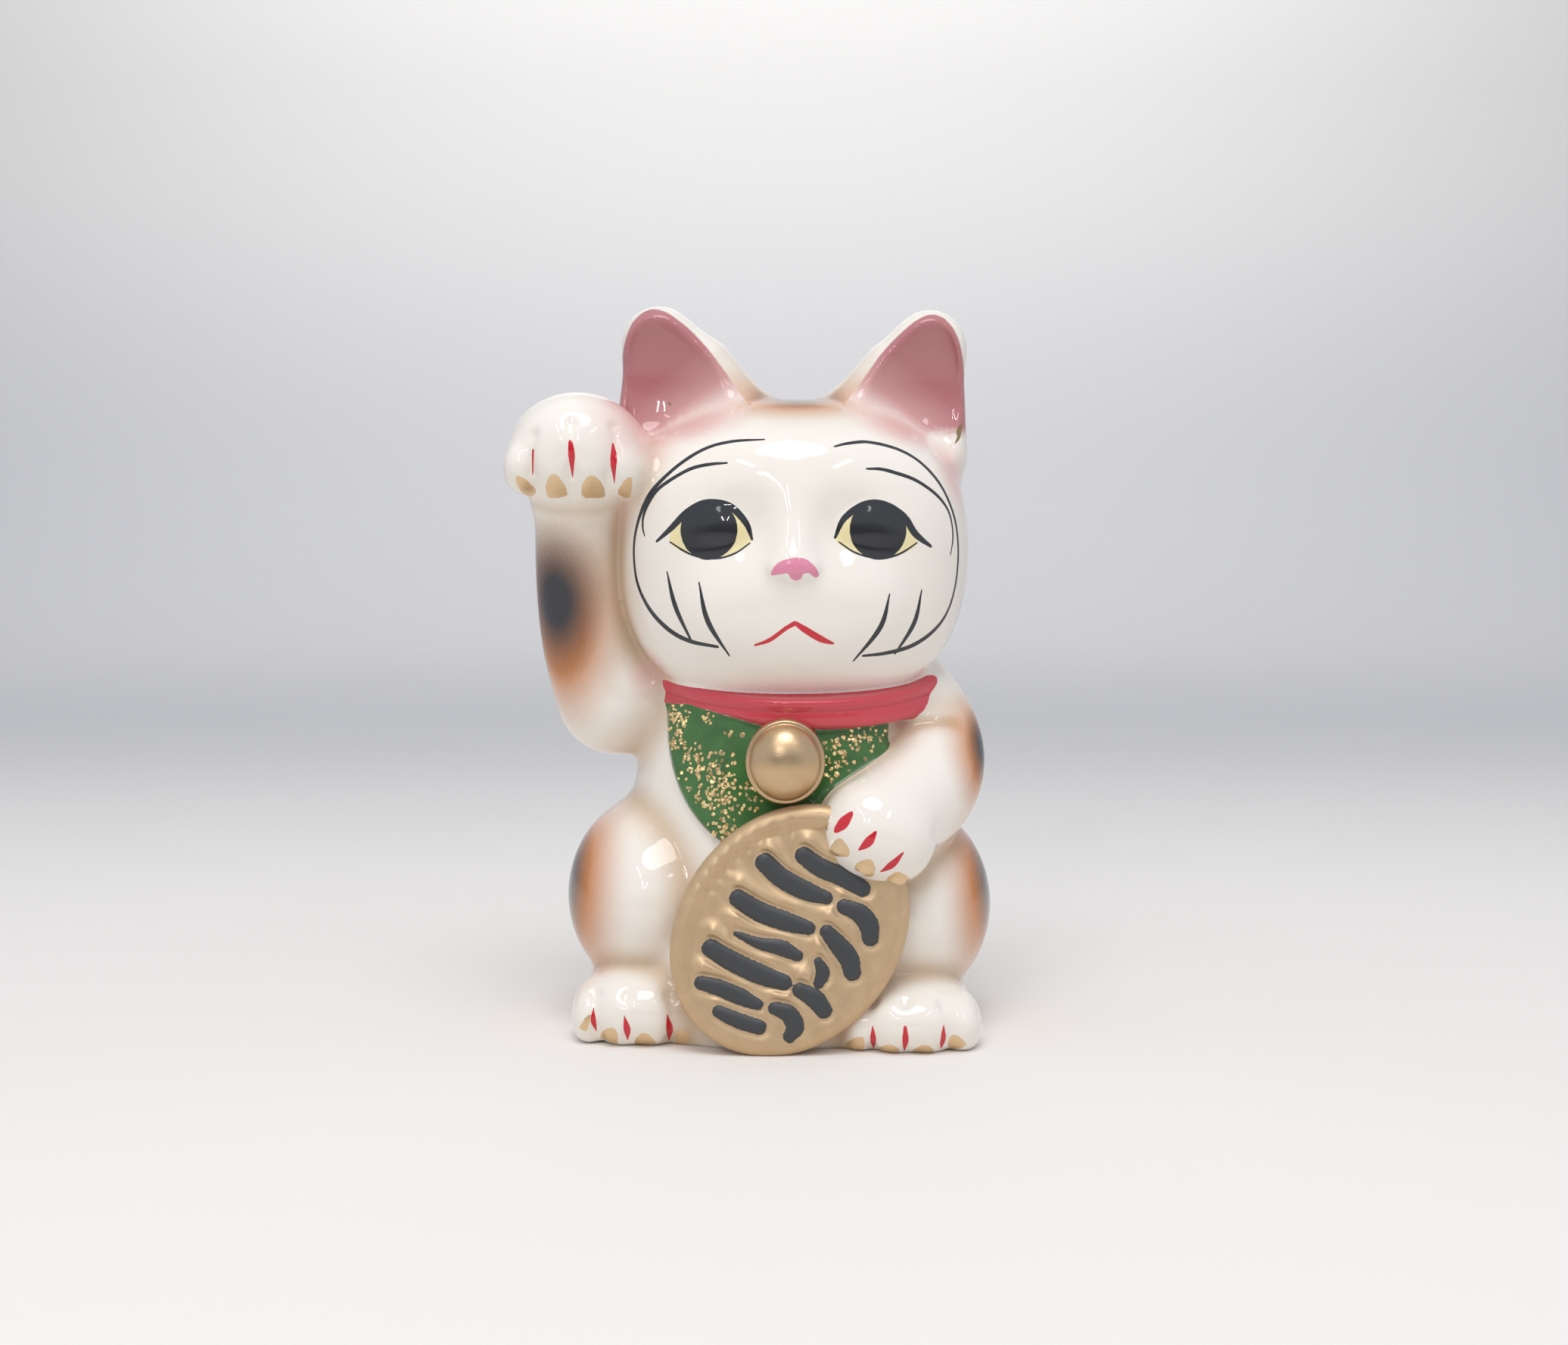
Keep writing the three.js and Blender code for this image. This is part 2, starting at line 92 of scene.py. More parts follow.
def colour(hex_value):
    """An sRGB hex colour as linear red, green, blue and alpha"""
    parts = [int(hex_value[i : i + 2], 16) / 255 for i in (1, 3, 5)]
    return [c / 12.92 if c <= 0.04045 else ((c + 0.055) / 1.055) ** 2.4 for c in parts] + [1.0]


def new_material(name):
    """An empty node material with its principled shader, as (material, node tree, shader)"""
    made = bpy.data.materials.new(name)
    made.use_nodes = True
    return made, made.node_tree, made.node_tree.nodes["Principled BSDF"]


def add_node(tree, kind, settings, inputs):
    """One node with its settings; each input is a plain value or the output that it is linked to"""
    node = tree.nodes.new("ShaderNode" + kind)
    for name, value in settings.items():
        setattr(node, name, value)
    for name, value in inputs.items():
        if isinstance(value, bpy.types.NodeSocket):
            tree.links.new(value, node.inputs[name])
        else:
            node.inputs[name].default_value = value
    return node


def new_object(name, mesh):
    made = bpy.data.objects.new(name, mesh)
    bpy.context.scene.collection.objects.link(made)
    return made


card_bm = bmesh.new()
profile = [(CARD_FRONT, 0), (CARD_BACK - CARD_BEND, 0)]
for i in range(1, CARD_BEND_STEPS + 1):
    angle = math.pi / 2 * i / CARD_BEND_STEPS
    profile.append(
        (CARD_BACK - CARD_BEND + CARD_BEND * math.sin(angle), CARD_BEND * (1 - math.cos(angle)))
    )
profile.append((CARD_BACK, CARD_TOP))
line = [card_bm.verts.new((-CARD_WIDTH / 2, y, z)) for y, z in profile]
edges = [card_bm.edges.new(pair) for pair in zip(line, line[1:])]
swept = bmesh.ops.extrude_edge_only(card_bm, edges=edges)["geom"]
moved = [part for part in swept if isinstance(part, bmesh.types.BMVert)]
bmesh.ops.translate(card_bm, verts=moved, vec=(CARD_WIDTH, 0, 0))
bmesh.ops.recalc_face_normals(card_bm, faces=card_bm.faces)
card_mesh = bpy.data.meshes.new("card_sweep")
card_bm.to_mesh(card_mesh)
card_bm.free()
card_mesh.shade_smooth()
card = new_object("card_sweep", card_mesh)
card_white, tree, shader = new_material("white card")
place = add_node(tree, "TexCoord", {}, {}).outputs["Object"]
along_card = add_node(tree, "SeparateXYZ", {}, {"Vector": place}).outputs
# painted shade on the card: greyer further behind the bank, paler again higher up
behind = add_node(tree, "MapRange", SMOOTH, {"Value": along_card["Y"], **CARD_SHADE_DEEPENS}).outputs["Result"]
upright = add_node(tree, "MapRange", SMOOTH, {"Value": along_card["Z"], **CARD_SHADE_EASES}).outputs["Result"]
shades = {0: upright, 6: colour(CARD_SHADE), 7: colour(CARD_TOP_SHADE)}
far_card_painted_shade = add_node(tree, "Mix", COLOURS, shades).outputs[2]
shade = add_node(tree, "Mix", COLOURS, {0: behind, 6: colour(CARD_WHITE), 7: far_card_painted_shade})
tree.links.new(shade.outputs[2], shader.inputs["Base Color"])
shader.inputs["Roughness"].default_value = 0.85
card_mesh.materials.append(card_white)
card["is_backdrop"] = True

# The light is a small photo tent's: a broad round panel overhead with a dim wing on either side, two
# narrow strips in front, which leave thin bright streaks on the glaze, and a wash over the top of the
# backdrop. The room behind the camera is dark.
BANK_AIM, BACKDROP_AIM = (0, 0, 0.09), (0, 1.7, 0.66)
PANEL = {"shape": "ELLIPSE", "size": (0.6, 0.56), "watts": 4.3, "aim": BANK_AIM}
WING = {"shape": "RECTANGLE", "size": (0.05, 0.36), "watts": 0.32, "aim": BANK_AIM}
STRIP = {"shape": "RECTANGLE", "size": (0.014, 0.16), "watts": 0.3, "aim": BANK_AIM}
WASH = {"shape": "RECTANGLE", "size": (1.2, 0.2), "watts": 5.0, "aim": BACKDROP_AIM}
LAMPS = {
    "ceiling_panel": {"at": (0, -0.4, 1.0), "turn": 0, **PANEL},
    "wing_left": {"at": (-0.42, -0.66, 0.86), "turn": 50, **WING},
    "wing_right": {"at": (0.46, -0.66, 0.86), "turn": -50, **WING},
    "strip_left": {"at": (-0.26, -0.78, 0.52), "turn": 16, **STRIP},
    "strip_right": {"at": (-0.16, -0.8, 0.52), "turn": -16, **STRIP},
    "backdrop_wash": {"at": (0, 1.15, 1.0), "turn": 0, **WASH},
}
for name, lamp in LAMPS.items():
    light = bpy.data.lights.new(name, "AREA")
    light.shape = lamp["shape"]
    light.size, light.size_y = lamp["size"]
    light.energy = lamp["watts"]
    shown = bpy.data.objects.new(name, light)
    shown.location = lamp["at"]
    facing = (Vector(lamp["aim"]) - shown.location).to_track_quat("-Z", "Y").to_matrix()
    shown.rotation_euler = (facing @ Matrix.Rotation(math.radians(lamp["turn"]), 3, "Z")).to_euler()
    bpy.context.scene.collection.objects.link(shown)

ROOM_SPREAD = (0.45, 1, 1.5)  # seen from the bank, the dark room is wide and low
ROOM_EDGE = {"From Min": 0.84, "From Max": 0.985}
TENT_STRENGTH = 0.8
world = bpy.data.worlds.new("tent")
world.use_nodes = True
tree = world.node_tree
tent_white, dark_room = colour("#e4eaf4"), colour("#38383b")
way = add_node(tree, "TexCoord", {}, {}).outputs["Generated"]
wide = add_node(tree, "VectorMath", {"operation": "MULTIPLY"}, {0: way, 1: ROOM_SPREAD})
ahead = add_node(tree, "VectorMath", {"operation": "NORMALIZE"}, {0: wide.outputs["Vector"]})
to_camera = add_node(
    tree, "VectorMath", {"operation": "DOT_PRODUCT"}, {0: ahead.outputs["Vector"], 1: (0, -1, 0)}
)
in_front = add_node(tree, "MapRange", SMOOTH, {"Value": to_camera.outputs["Value"], **ROOM_EDGE})
tone = add_node(tree, "Mix", COLOURS, {0: in_front.outputs["Result"], 6: tent_white, 7: dark_room})
background = tree.nodes["Background"]
tree.links.new(tone.outputs[2], background.inputs["Color"])
background.inputs["Strength"].default_value = TENT_STRENGTH
bpy.context.scene.world = world

# The bank is one casting in white earthenware, poured in a plaster mould, so it is hollow with an
# even wall. It is dipped in clear glaze, which softens every edge and gathers in the creases. Its
# form is built up from rounded lumps of clay, in millimetres from the clay's zero on the floor.
CLAY_ZERO = np.array((-1.59, -1.32, 0.0))  # in the part's frame
FACE_X = 11.8
SKIN_CELL = 1.25
INNER_LEFT_OUT = 0.85  # the share of its triangles that the unseen inner wall does without
FAR = 20.0  # a lump further off than this can't touch the surface
FILLET_REACH = 1.5


def blob(at, half, power=2.0):
    """The distance to a ball stretched to three half sizes, squarer where power is above 2"""
    at, half = np.array(at, float), np.array(half, float)

    def form(p):
        q = np.maximum(np.abs(p - at) / half, 1e-6)
        if power == 2:
            k = np.sqrt((q * q).sum(1))
            return k * (k - 1) / np.sqrt(((q / half) ** 2).sum(1))
        k = (q**power).sum(1) ** (1 / power)
        slope = np.sqrt(((q ** (power - 1) / half) ** 2).sum(1)) * k ** (1 - power)
        return (k - 1) / slope

    return bounded(at, half.max() * 1.25, form)


def bounded(at, radius, form):
    """The form worked out only near itself: from far away the ball around it is near enough"""

    def quick(p):
        away = np.linalg.norm(p - at, axis=1) - radius
        near = away < FAR
        away[near] = form(p[near])
        return away

    return quick


def roll(start, end, radii):
    """A tapering roll of clay"""
    start, along = np.array(start, float), np.array(end, float) - np.array(start, float)

    def form(p):
        t = np.clip((p - start) @ along / (along @ along), 0, 1)
        away = np.linalg.norm(p - start - t[:, None] * along, axis=1)
        return away - (radii[0] + (radii[1] - radii[0]) * t)

    return bounded(start + along / 2, np.linalg.norm(along) / 2 + max(radii), form)


def limb(start, towards, end, radii):
    """A round limb that leaves start towards a point beside it and curves to its end"""
    a, m, c = (np.array(point, float) for point in (start, towards, end))
    go, turn = 2 * (m - a), a - 2 * m + c

    def form(p):
        nearest_yet, t = np.full(len(p), np.inf), np.zeros(len(p))
        for s in np.linspace(0, 1, 9):
            away = np.linalg.norm(p - (a + s * (go + s * turn)), axis=1)
            t[away < nearest_yet] = s
            nearest_yet = np.minimum(nearest_yet, away)
        for _ in range(3):
            gap = a + t[:, None] * (go + t[:, None] * turn) - p
            slope = go + 2 * t[:, None] * turn
            bend = (slope * slope).sum(1) + 2 * (gap @ turn)
            bend = np.where(np.abs(bend) < 1e-6, 1e-6, bend)
            t = np.clip(t - (gap * slope).sum(1) / bend, 0, 1)
        s = 1 - t
        away = np.linalg.norm(a + t[:, None] * (go + t[:, None] * turn) - p, axis=1)
        return away - (s * s * radii[0] + 2 * s * t * radii[1] + t * t * radii[2])

    middle = (a + m + c) / 3
    return bounded(middle, max(np.linalg.norm(x - middle) for x in (a, m, c)) + max(radii), form)


def plate(side, face, edge):
    """A flat plate with a rounded edge, from the distances to its side and to its faces"""
    a, b = side + edge, face + edge
    return np.minimum(np.maximum(a, b), 0) + np.hypot(np.maximum(a, 0), np.maximum(b, 0)) - edge


def own_axes(yaw=0, pitch=0, lean=0):
    """The turn, in degrees, from a lump's own axes to the cat's"""
    return np.array(
        Matrix.Rotation(math.radians(yaw), 3, "Z")
        @ Matrix.Rotation(math.radians(pitch), 3, "X")
        @ Matrix.Rotation(math.radians(lean), 3, "Y")
    )


def placed(at, form, **turns):
    axes = own_axes(**turns)
    return lambda p: form((p - np.array(at)) @ axes)


def blend(a, b, soft):
    reach = soft * FILLET_REACH
    h = np.maximum(reach - np.abs(a - b), 0) / reach
    return np.minimum(a, b) - h**3 * reach / 6


def join(soft, a, b):
    return lambda p: blend(a(p), b(p), soft)


def carve(soft, a, b):
    return lambda p: -blend(-a(p), b(p), soft)


def common(soft, a, b):
    return lambda p: -blend(-a(p), -b(p), soft)


def nearest(forms):
    return lambda p: np.minimum.reduce([form(p) for form in forms])


def both_sides(form):
    return lambda p: form(np.column_stack([np.abs(p[:, 0] - FACE_X), p[:, 1], p[:, 2]]))


def toes(at, reach, half, setback):
    """Four toes in a row, the outer ones standing back a little"""
    row = []
    for t in (-0.75, -0.25, 0.25, 0.75):
        row.append(blob(np.array(at, float) + (t * reach, abs(t) * setback, 0), half))
    return nearest(row)


EARS = [
    {
        "tip": (-21.8, 2, 169.7),
        "swell": (-12.3, 3, 162.6),
        "inner": (-4, 3, 151.5),
        "outer": (-22.8, 3, 146),
        "dish": (-17.5, -1.6, 160),
        "yaw": 12,
        "pink": [
            (-31.9, 151), (-31.7, 158.5), (-30.7, 168), (-28.4, 174.6), (-24.4, 178), (-20.3, 177.6),
            (-15.5, 174.4), (-10.7, 169.8), (-6, 163.8), (-2, 158), (1.6, 152.6), (2, 147), (-15, 141),
            (-31, 142),
        ],
    },
    {
        "tip": (46.2, 2, 168.8),
        "swell": (38.4, 3, 161.8),
        "inner": (30, 3, 151.5),
        "outer": (46, 3, 143),
        "dish": (41.5, -1.6, 159),
        "yaw": -12,
        "pink": [
            (54.9, 142), (55.3, 151), (55.1, 158), (54.2, 166.5), (52.2, 172.6), (49, 176.2),
            (45.2, 176.6), (40.8, 174), (34.5, 167.8), (28.4, 159.4), (23.6, 152.6), (23, 147),
            (38, 139), (50, 138),
        ],
    },
]
EAR_RADII = (10, 8.4)
EAR_SWELL = 9.6
DISH_RADIUS = 34
EAR_LIP = 1.3  # the pink starts this far up the dish's rounded lip
EAR_REACH = 26  # no part of an ear's dish lies further than this from its middle

SKULL = {"at": (FACE_X, 0, 118), "half": (44.2, 36, 37.8), "power": 2.45}
JAW = {"at": (FACE_X, -11.5, 101.5), "half": (36.8, 25, 22.8), "power": 2.2}
# the eyes are given to the side of the face's middle line, for the two alike
EYE_SOCKET = {"at": (19.5, -43.4, 126), "half": (15.5, 9.2, 11)}
EYEBALL = {"at": (19.2, -27.7, 123.6), "half": (12.5, 5.9, 9), "yaw": 18}
FOREHEAD = {"at": (FACE_X, -24.4, 136.5), "half": (17, 8.3, 10)}
NOSE_BRIDGE = {"start": (FACE_X, -30.5, 131), "end": (FACE_X, -37.8, 117), "radii": (3.8, 3.8)}
MUZZLE = {"at": (FACE_X, -31, 104.5), "half": (22, 8.6, 13)}
NOSE = {"at": (FACE_X, -39.6, 115), "half": (5.6, 3, 3)}
# how softly each lump runs into what it stands on, or is cut out of it
FILLET = {
    "jaw": 6,
    "ear_rolls": 4,
    "ear": 6,
    "dish_outline": 2,
    "dish_floor": 4,
    "dish": 1.4,
    "eye_socket": 7,
    "forehead": 6,
    "nose_bridge": 6,
    "muzzle": 9,
    "nose": 2,
    "eyeball": 1.2,
    "upper_arm": 2,
    "paw_toes": 3.2,
    "paw": 4,
    "hand": 4,
    "chest": 12,
    "lap": 4,
    "thighs": 4,
    "foot_toes": 3,
    "tail": 2.5,
    "feet": 3.5,
    "bib_edge": 1.2,
    "bib_top": 0.6,
    "bib": 0.8,
    "collar": 1.2,
    "resting_arm": 3,
    "raised_arm": 4,
    "head": 2.2,
    "wrist": 10,
    "lobes": 0.8,
    "hollow": 4,
    "hollow_floor": 2,
}

skull = join(FILLET["jaw"], blob(**SKULL), blob(**JAW))


def ear(side):
    outer_edge = roll(side["outer"], side["tip"], EAR_RADII)
    inner_edge = nearest(
        [
            roll(side["inner"], side["swell"], (EAR_RADII[0], EAR_SWELL)),
            roll(side["swell"], side["tip"], (EAR_SWELL, EAR_RADII[1])),
        ]
    )
    return join(FILLET["ear_rolls"], outer_edge, inner_edge)


def along_line(points, line):
    """For each point the nearest span of a line, how far along it and how far away"""
    start, span = line[:-1], np.diff(line, axis=0)
    t = ((points[:, None] - start) * span).sum(2) / (span * span).sum(1)
    held = np.clip(t, 0, 1)
    gaps = points[:, None] - (start + held[:, :, None] * span)
    away = np.linalg.norm(gaps, axis=2)
    best = away.argmin(1)
    rows = np.arange(len(points))
    return best, t[rows, best], away[rows, best]


def smooth_curve(points, closed=False, steps=8):
    """A smooth curve through given points, with everything that each point carries"""
    p = np.array(points, float)
    before, after = (p[-1:], p[:2]) if closed else (2 * p[:1] - p[1:2], 2 * p[-1:] - p[-2:-1])
    p = np.concatenate([before, p, after])
    t = np.linspace(0, 1, steps, endpoint=False)[:, None]
    spans = []
    for a, b, c, d in zip(p, p[1:], p[2:], p[3:]):
        spans.append(b + t / 2 * (c - a + t * (2 * a - 5 * b + 4 * c - d + t * (3 * b - a - 3 * c + d))))
    if not closed:
        spans.append(p[-2:-1])
    return np.concatenate(spans)


def outside_of(outline, flat, steps=8):
    """How far outside a closed outline the (x, z) pairs are, and less than nothing inside"""
    line = smooth_curve(outline, closed=True, steps=steps)
    line = np.concatenate([line, line[:1]])
    away = along_line(flat, line)[2]
    (x, z), (x0, z0), (x1, z1) = flat.T[:, :, None], line[:-1].T, line[1:].T
    crossed = (z0 > z) != (z1 > z)
    with np.errstate(divide="ignore", invalid="ignore"):
        beyond = x < (x1 - x0) * (z - z0) / (z1 - z0) + x0
    inside = (crossed & beyond).sum(1) % 2 == 1
    return np.where(inside, -away, away)


def dish_inwards(side):
    angle = math.radians(side["yaw"])
    return np.array((math.sin(angle), math.cos(angle), 0)) * DISH_RADIUS


def ear_dish(side):
    ball = blob(np.array(side["dish"]) - dish_inwards(side), [DISH_RADIUS] * 3)

    def pink_outline(p):
        return outside_of(side["pink"], p[:, (0, 2)], 3) + EAR_LIP

    framed = common(FILLET["dish_outline"], ball, pink_outline)
    return bounded(side["dish"], EAR_REACH, carve(FILLET["dish_floor"], framed, skull))


head = skull
for side in EARS:
    head = join(FILLET["ear"], head, ear(side))
for side in EARS:
    head = carve(FILLET["dish"], head, ear_dish(side))
head = carve(FILLET["eye_socket"], head, both_sides(blob(**EYE_SOCKET)))
head = join(FILLET["forehead"], head, blob(**FOREHEAD))
head = join(FILLET["nose_bridge"], head, roll(**NOSE_BRIDGE))
head = join(FILLET["muzzle"], head, blob(**MUZZLE))
head = join(FILLET["nose"], head, blob(**NOSE))
eyeball = placed(EYEBALL["at"], blob((0, 0, 0), EYEBALL["half"]), yaw=EYEBALL["yaw"])
head = join(FILLET["eyeball"], head, both_sides(eyeball))

FOREARM = {
    "start": (-33, 1, 81.5),
    "towards": (-43, -3, 94),
    "end": (-41.3, -10, 128),
    "radii": (15, 10.8, 10.8),
}
UPPER_ARM = {"start": (-10, 2, 80), "end": (-33, 1, 81.5), "radii": (14.5, 15)}
RAISED_PAW = {"at": (-41, -17.5, 143.4), "half": (16.4, 15.5, 13.7)}
PAW_TOES = {"at": (-41.8, -26, 138.8), "reach": 16.2, "half": (4.5, 6.8, 6), "setback": 3.5}
RESTING_ARM = {
    "start": (36.5, 0, 81),
    "towards": (56.5, -7, 62),
    "end": (30.6, -36, 52),
    "radii": (15, 15, 12.8),
}
RESTING_HAND = {"at": (35.8, -38.5, 49.6), "half": (9.4, 9.6, 9.8)}
HOLLOW_ARM = {"towards": (49, -4, 69), "end": (43.5, -14, 60)}  # how far the hollow follows that arm
BELLY = {"at": (9, 5, 30), "half": (44, 43, 44)}
CHEST = {"at": (10.5, 2, 66), "half": (37, 34, 38)}
LAP = {"at": (9, -14, 8), "half": (34, 29, 26), "power": 2.6}
THIGHS = [
    {"at": (-23, -2, 31), "half": (22.3, 33, 25)},
    {"at": (39.5, -4, 29), "half": (22.4, 34, 25.5)},
]
FEET = [
    {"at": (-25.5, -22, 7.5), "half": (15, 20.5, 10.6), "power": 2.3},
    {"at": (39.8, -28, 6.5), "half": (16.1, 21.5, 9.8), "power": 2.3},
]
FOOT_TOES = [
    {"at": (-26, -32.5, 6), "reach": 15.5, "half": (4.6, 9, 7.6), "setback": 2.5},
    {"at": (40, -39.5, 5.2), "reach": 16.5, "half": (4.8, 9, 7.2), "setback": 2.5},
]
TAIL = {"start": (6, 41, 9), "towards": (24, 49, 9), "end": (28, 40, 30), "radii": (8, 8.5, 6.5)}

bare_arm = join(FILLET["upper_arm"], limb(**FOREARM), roll(**UPPER_ARM))
raised_paw = join(FILLET["paw_toes"], blob(**RAISED_PAW), toes(**PAW_TOES))
raised_arm = join(FILLET["paw"], bare_arm, raised_paw)
resting_arm = join(FILLET["hand"], limb(**RESTING_ARM), blob(**RESTING_HAND))
torso = join(FILLET["chest"], blob(**BELLY), blob(**CHEST))
thighs = nearest([blob(**thigh) for thigh in THIGHS])
seat = join(FILLET["thighs"], join(FILLET["lap"], torso, blob(**LAP)), thighs)
feet = nearest(
    [join(FILLET["foot_toes"], blob(**foot), toes(**row)) for foot, row in zip(FEET, FOOT_TOES)]
)
tail = limb(**TAIL)

COLLAR = {"at": (13.6, 1, 84.5), "pitch": 8, "half": (36, 36.2), "width": 7.6, "edge": 1.2}
COLLAR_GROOVE = {"height": 0.8, "wide": 1.1, "deep": 0.4}
COLLAR_LOW_EDGE = [
    (-30, 78), (-19, 79.3), (-13, 80.3), (-8, 79.9), (-2, 78.7), (5, 77), (12, 76.3), (20, 76.2),
    (27, 76.3), (34, 76.2), (39, 76.4), (43, 78.5), (60, 82),
]
COLLAR_FRONT = -5  # where the band turns from the sides to the front
BIB = {
    "at": (8, 76),
    "half": (27, 30.5),
    "power": 2.15,
    "thick": 1.6,
    "front": -8,
    "under_collar": 0.8,
}


def collar_low(x):
    """How high the collar's lower edge runs across the front, where its paint isn't level"""
    return np.interp(x, *np.array(COLLAR_LOW_EDGE, float).T)


def collar_band(p):
    """A flat band with a rounded edge and a shallow groove that runs round it"""
    out = np.hypot(p[:, 0] / COLLAR["half"][0], p[:, 1] / COLLAR["half"][1])
    side = (out - 1) * COLLAR["half"][0]
    groove = np.exp(-(((p[:, 2] - COLLAR_GROOVE["height"]) / COLLAR_GROOVE["wide"]) ** 2))
    ends = np.abs(p[:, 2]) - COLLAR["width"] / 2
    raised = own_axes(pitch=COLLAR["pitch"])[2]
    below_edge = collar_low(p[:, 0] + COLLAR["at"][0]) - COLLAR["at"][2] - p @ raised
    ends = np.where(p[:, 1] < COLLAR_FRONT, np.maximum(ends, below_edge), ends)
    return plate(side, ends, COLLAR["edge"]) + COLLAR_GROOVE["deep"] * groove


def bib_outline(p):
    x, z = (np.abs(p[:, i] - at) / half for i, at, half in zip((0, 2), BIB["at"], BIB["half"]))
    return ((x ** BIB["power"] + z ** BIB["power"]) ** (1 / BIB["power"]) - 1) * BIB["half"][0]


collar = placed(COLLAR["at"], collar_band, pitch=COLLAR["pitch"])
bib = common(FILLET["bib_edge"], lambda p: torso(p) - BIB["thick"], bib_outline)
bib = common(FILLET["bib_edge"], bib, lambda p: p[:, 1] - BIB["front"])
bib = common(FILLET["bib_top"], bib, lambda p: p[:, 2] - collar_low(p[:, 0]) - BIB["under_collar"])

body = join(FILLET["tail"], seat, tail)
body = join(FILLET["feet"], body, feet)
body = join(FILLET["bib"], body, bib)
body = join(FILLET["collar"], body, collar)
body = join(FILLET["resting_arm"], body, resting_arm)
body = join(FILLET["raised_arm"], body, bare_arm)
body = join(FILLET["head"], body, head)
body = join(FILLET["wrist"], body, raised_paw)

WALL = 4
BASE_RECESS = {"at": (9, 4), "radius": 20, "deep": 2.4}
POUR_HOLE_RADIUS = 12
SLOT = {"at": (10.5, 62), "long": 34, "high": 5.6, "from": 20}
LIP = 0.7  # the glaze rounds the lips of the slot and the hole this much
FOOT = {"rounding": 1.5, "below": 0.3}  # it would end rounded this far below the floor, where it is cut


def hollow(p):
    arm_root = limb(**RESTING_ARM | HOLLOW_ARM)
    inner = seat(p)
    for form in (arm_root, bare_arm, skull):
        inner = blend(inner, form(p), FILLET["hollow"])
    return -blend(-(inner + WALL), -(BASE_RECESS["deep"] + WALL - p[:, 2]), FILLET["hollow_floor"])


def openings(p):
    """The coin slot in the back, and the pour hole in its recess under the base"""
    half_high = SLOT["high"] / 2
    x = np.maximum(np.abs(p[:, 0] - SLOT["at"][0]) - (SLOT["long"] / 2 - half_high), 0)
    across = np.hypot(x, p[:, 2] - SLOT["at"][1]) - half_high
    slot = np.maximum(across, SLOT["from"] - p[:, 1])
    away = np.hypot(p[:, 0] - BASE_RECESS["at"][0], p[:, 1] - BASE_RECESS["at"][1])
    recess = np.maximum(away - BASE_RECESS["radius"], p[:, 2] - BASE_RECESS["deep"])
    hole = np.maximum(away - POUR_HOLE_RADIUS, p[:, 2] - BASE_RECESS["deep"] - 2 * WALL)
    return np.minimum(slot, np.minimum(recess, hole))


# The toes of the raised paw and of the feet are only pressed in: a shallow groove runs down between
# each two, from a small pit, and the resting paw ends in four little lobes on the coin.
GROOVES = [
    ((-50.5, 146.5), (-50.8, 137.5)),
    ((-41.2, 149.5), (-41.2, 137.0)),
    ((-31.2, 148.5), (-31.6, 136.0)),
    ((-36.0, 12.5), (-36.2, 3.0)),
    ((-28.2, 13.0), (-28.0, 2.0)),
    ((-18.2, 12.5), (-18.2, 1.5)),
    ((30.8, 12.0), (30.8, 1.0)),
    ((38.2, 12.5), (38.2, 1.0)),
    ((47.2, 12.0), (47.0, 1.5)),
]
SHOULDER_CREASE = [(34.6, 72.5), (41.6, 75.8), (51.9, 76.1)]  # between the shoulder and the resting arm
GROOVE = {"wide": 1.5, "deep": 0.6, "pit": 1.4, "pit_deep": 0.5}
PAW_LOBES = [(18.2, -43.0, 55.4), (22.6, -44, 49.2), (29.0, -45, 44.4), (36.4, -43.4, 41.5)]
LOBE_HALF = (2.3, 1.8, 2.0)
AHEAD_OF_ALL = -62.0  # a depth in front of every form


def front_of(form, flat):
    """The surface points that lie straight behind a list of (x, z) pairs, seen from the front"""
    flat = np.array(flat, float)
    p = np.column_stack([flat[:, 0], np.full(len(flat), AHEAD_OF_ALL), flat[:, 1]])
    for _ in range(60):
        p[:, 1] += 0.8 * np.clip(form(p), -1, 4)
    return p


groove_ends = [front_of(body, groove) for groove in GROOVES]
shoulder_crease = front_of(body, SHOULDER_CREASE)
creases = [*groove_ends, shoulder_crease[:2], shoulder_crease[1:]]
groove_lines = nearest([roll(top, low, (0, 0)) for top, low in creases])
groove_pits = nearest([blob(top, [1] * 3) for top, low in groove_ends])
paw_lobes = nearest([blob(at, LOBE_HALF) for at in PAW_LOBES])
lobed = join(FILLET["lobes"], body, paw_lobes)


def skin(p):
    """The casting's outside, with its toes pressed in and its rounded foot on the floor"""
    value = lobed(p)
    value = value + GROOVE["deep"] * np.exp(-((groove_lines(p) / GROOVE["wide"]) ** 2))
    value = value + GROOVE["pit_deep"] * np.exp(-(((groove_pits(p) + 1) / GROOVE["pit"]) ** 2))
    standing = -blend(-value, p[:, 2] + FOOT["below"], FOOT["rounding"])
    return np.maximum(standing, -p[:, 2])


def shell(p):
    return -blend(-np.maximum(skin(p), -hollow(p)), openings(p), LIP)


def slide_onto(form, points, rounds):
    """Moves points down the form's slope until they lie on it, 1.5 mm at most in each round"""
    probe, longest = 0.05, 1.5
    corners = np.array(((1, 1, 1), (1, -1, -1), (-1, 1, -1), (-1, -1, 1)), float)
    for _ in range(rounds):
        values = [form(points + probe * corner) for corner in corners]
        slope = sum(v[:, None] * c for v, c in zip(values, corners)) / (4 * probe)
        steep = np.maximum((slope * slope).sum(1), 0.2)
        move = np.clip(sum(values) / 4 / steep, -longest, longest)
        points = points - slope * move[:, None]
    return points


def mesh_points(mesh, normals=False):
    flat = np.empty(len(mesh.vertices) * 3)
    mesh.vertices.foreach_get("normal" if normals else "co", flat)
    return flat.reshape(-1, 3)


def clay_points(mesh):
    return mesh_points(mesh) / MM - CLAY_ZERO


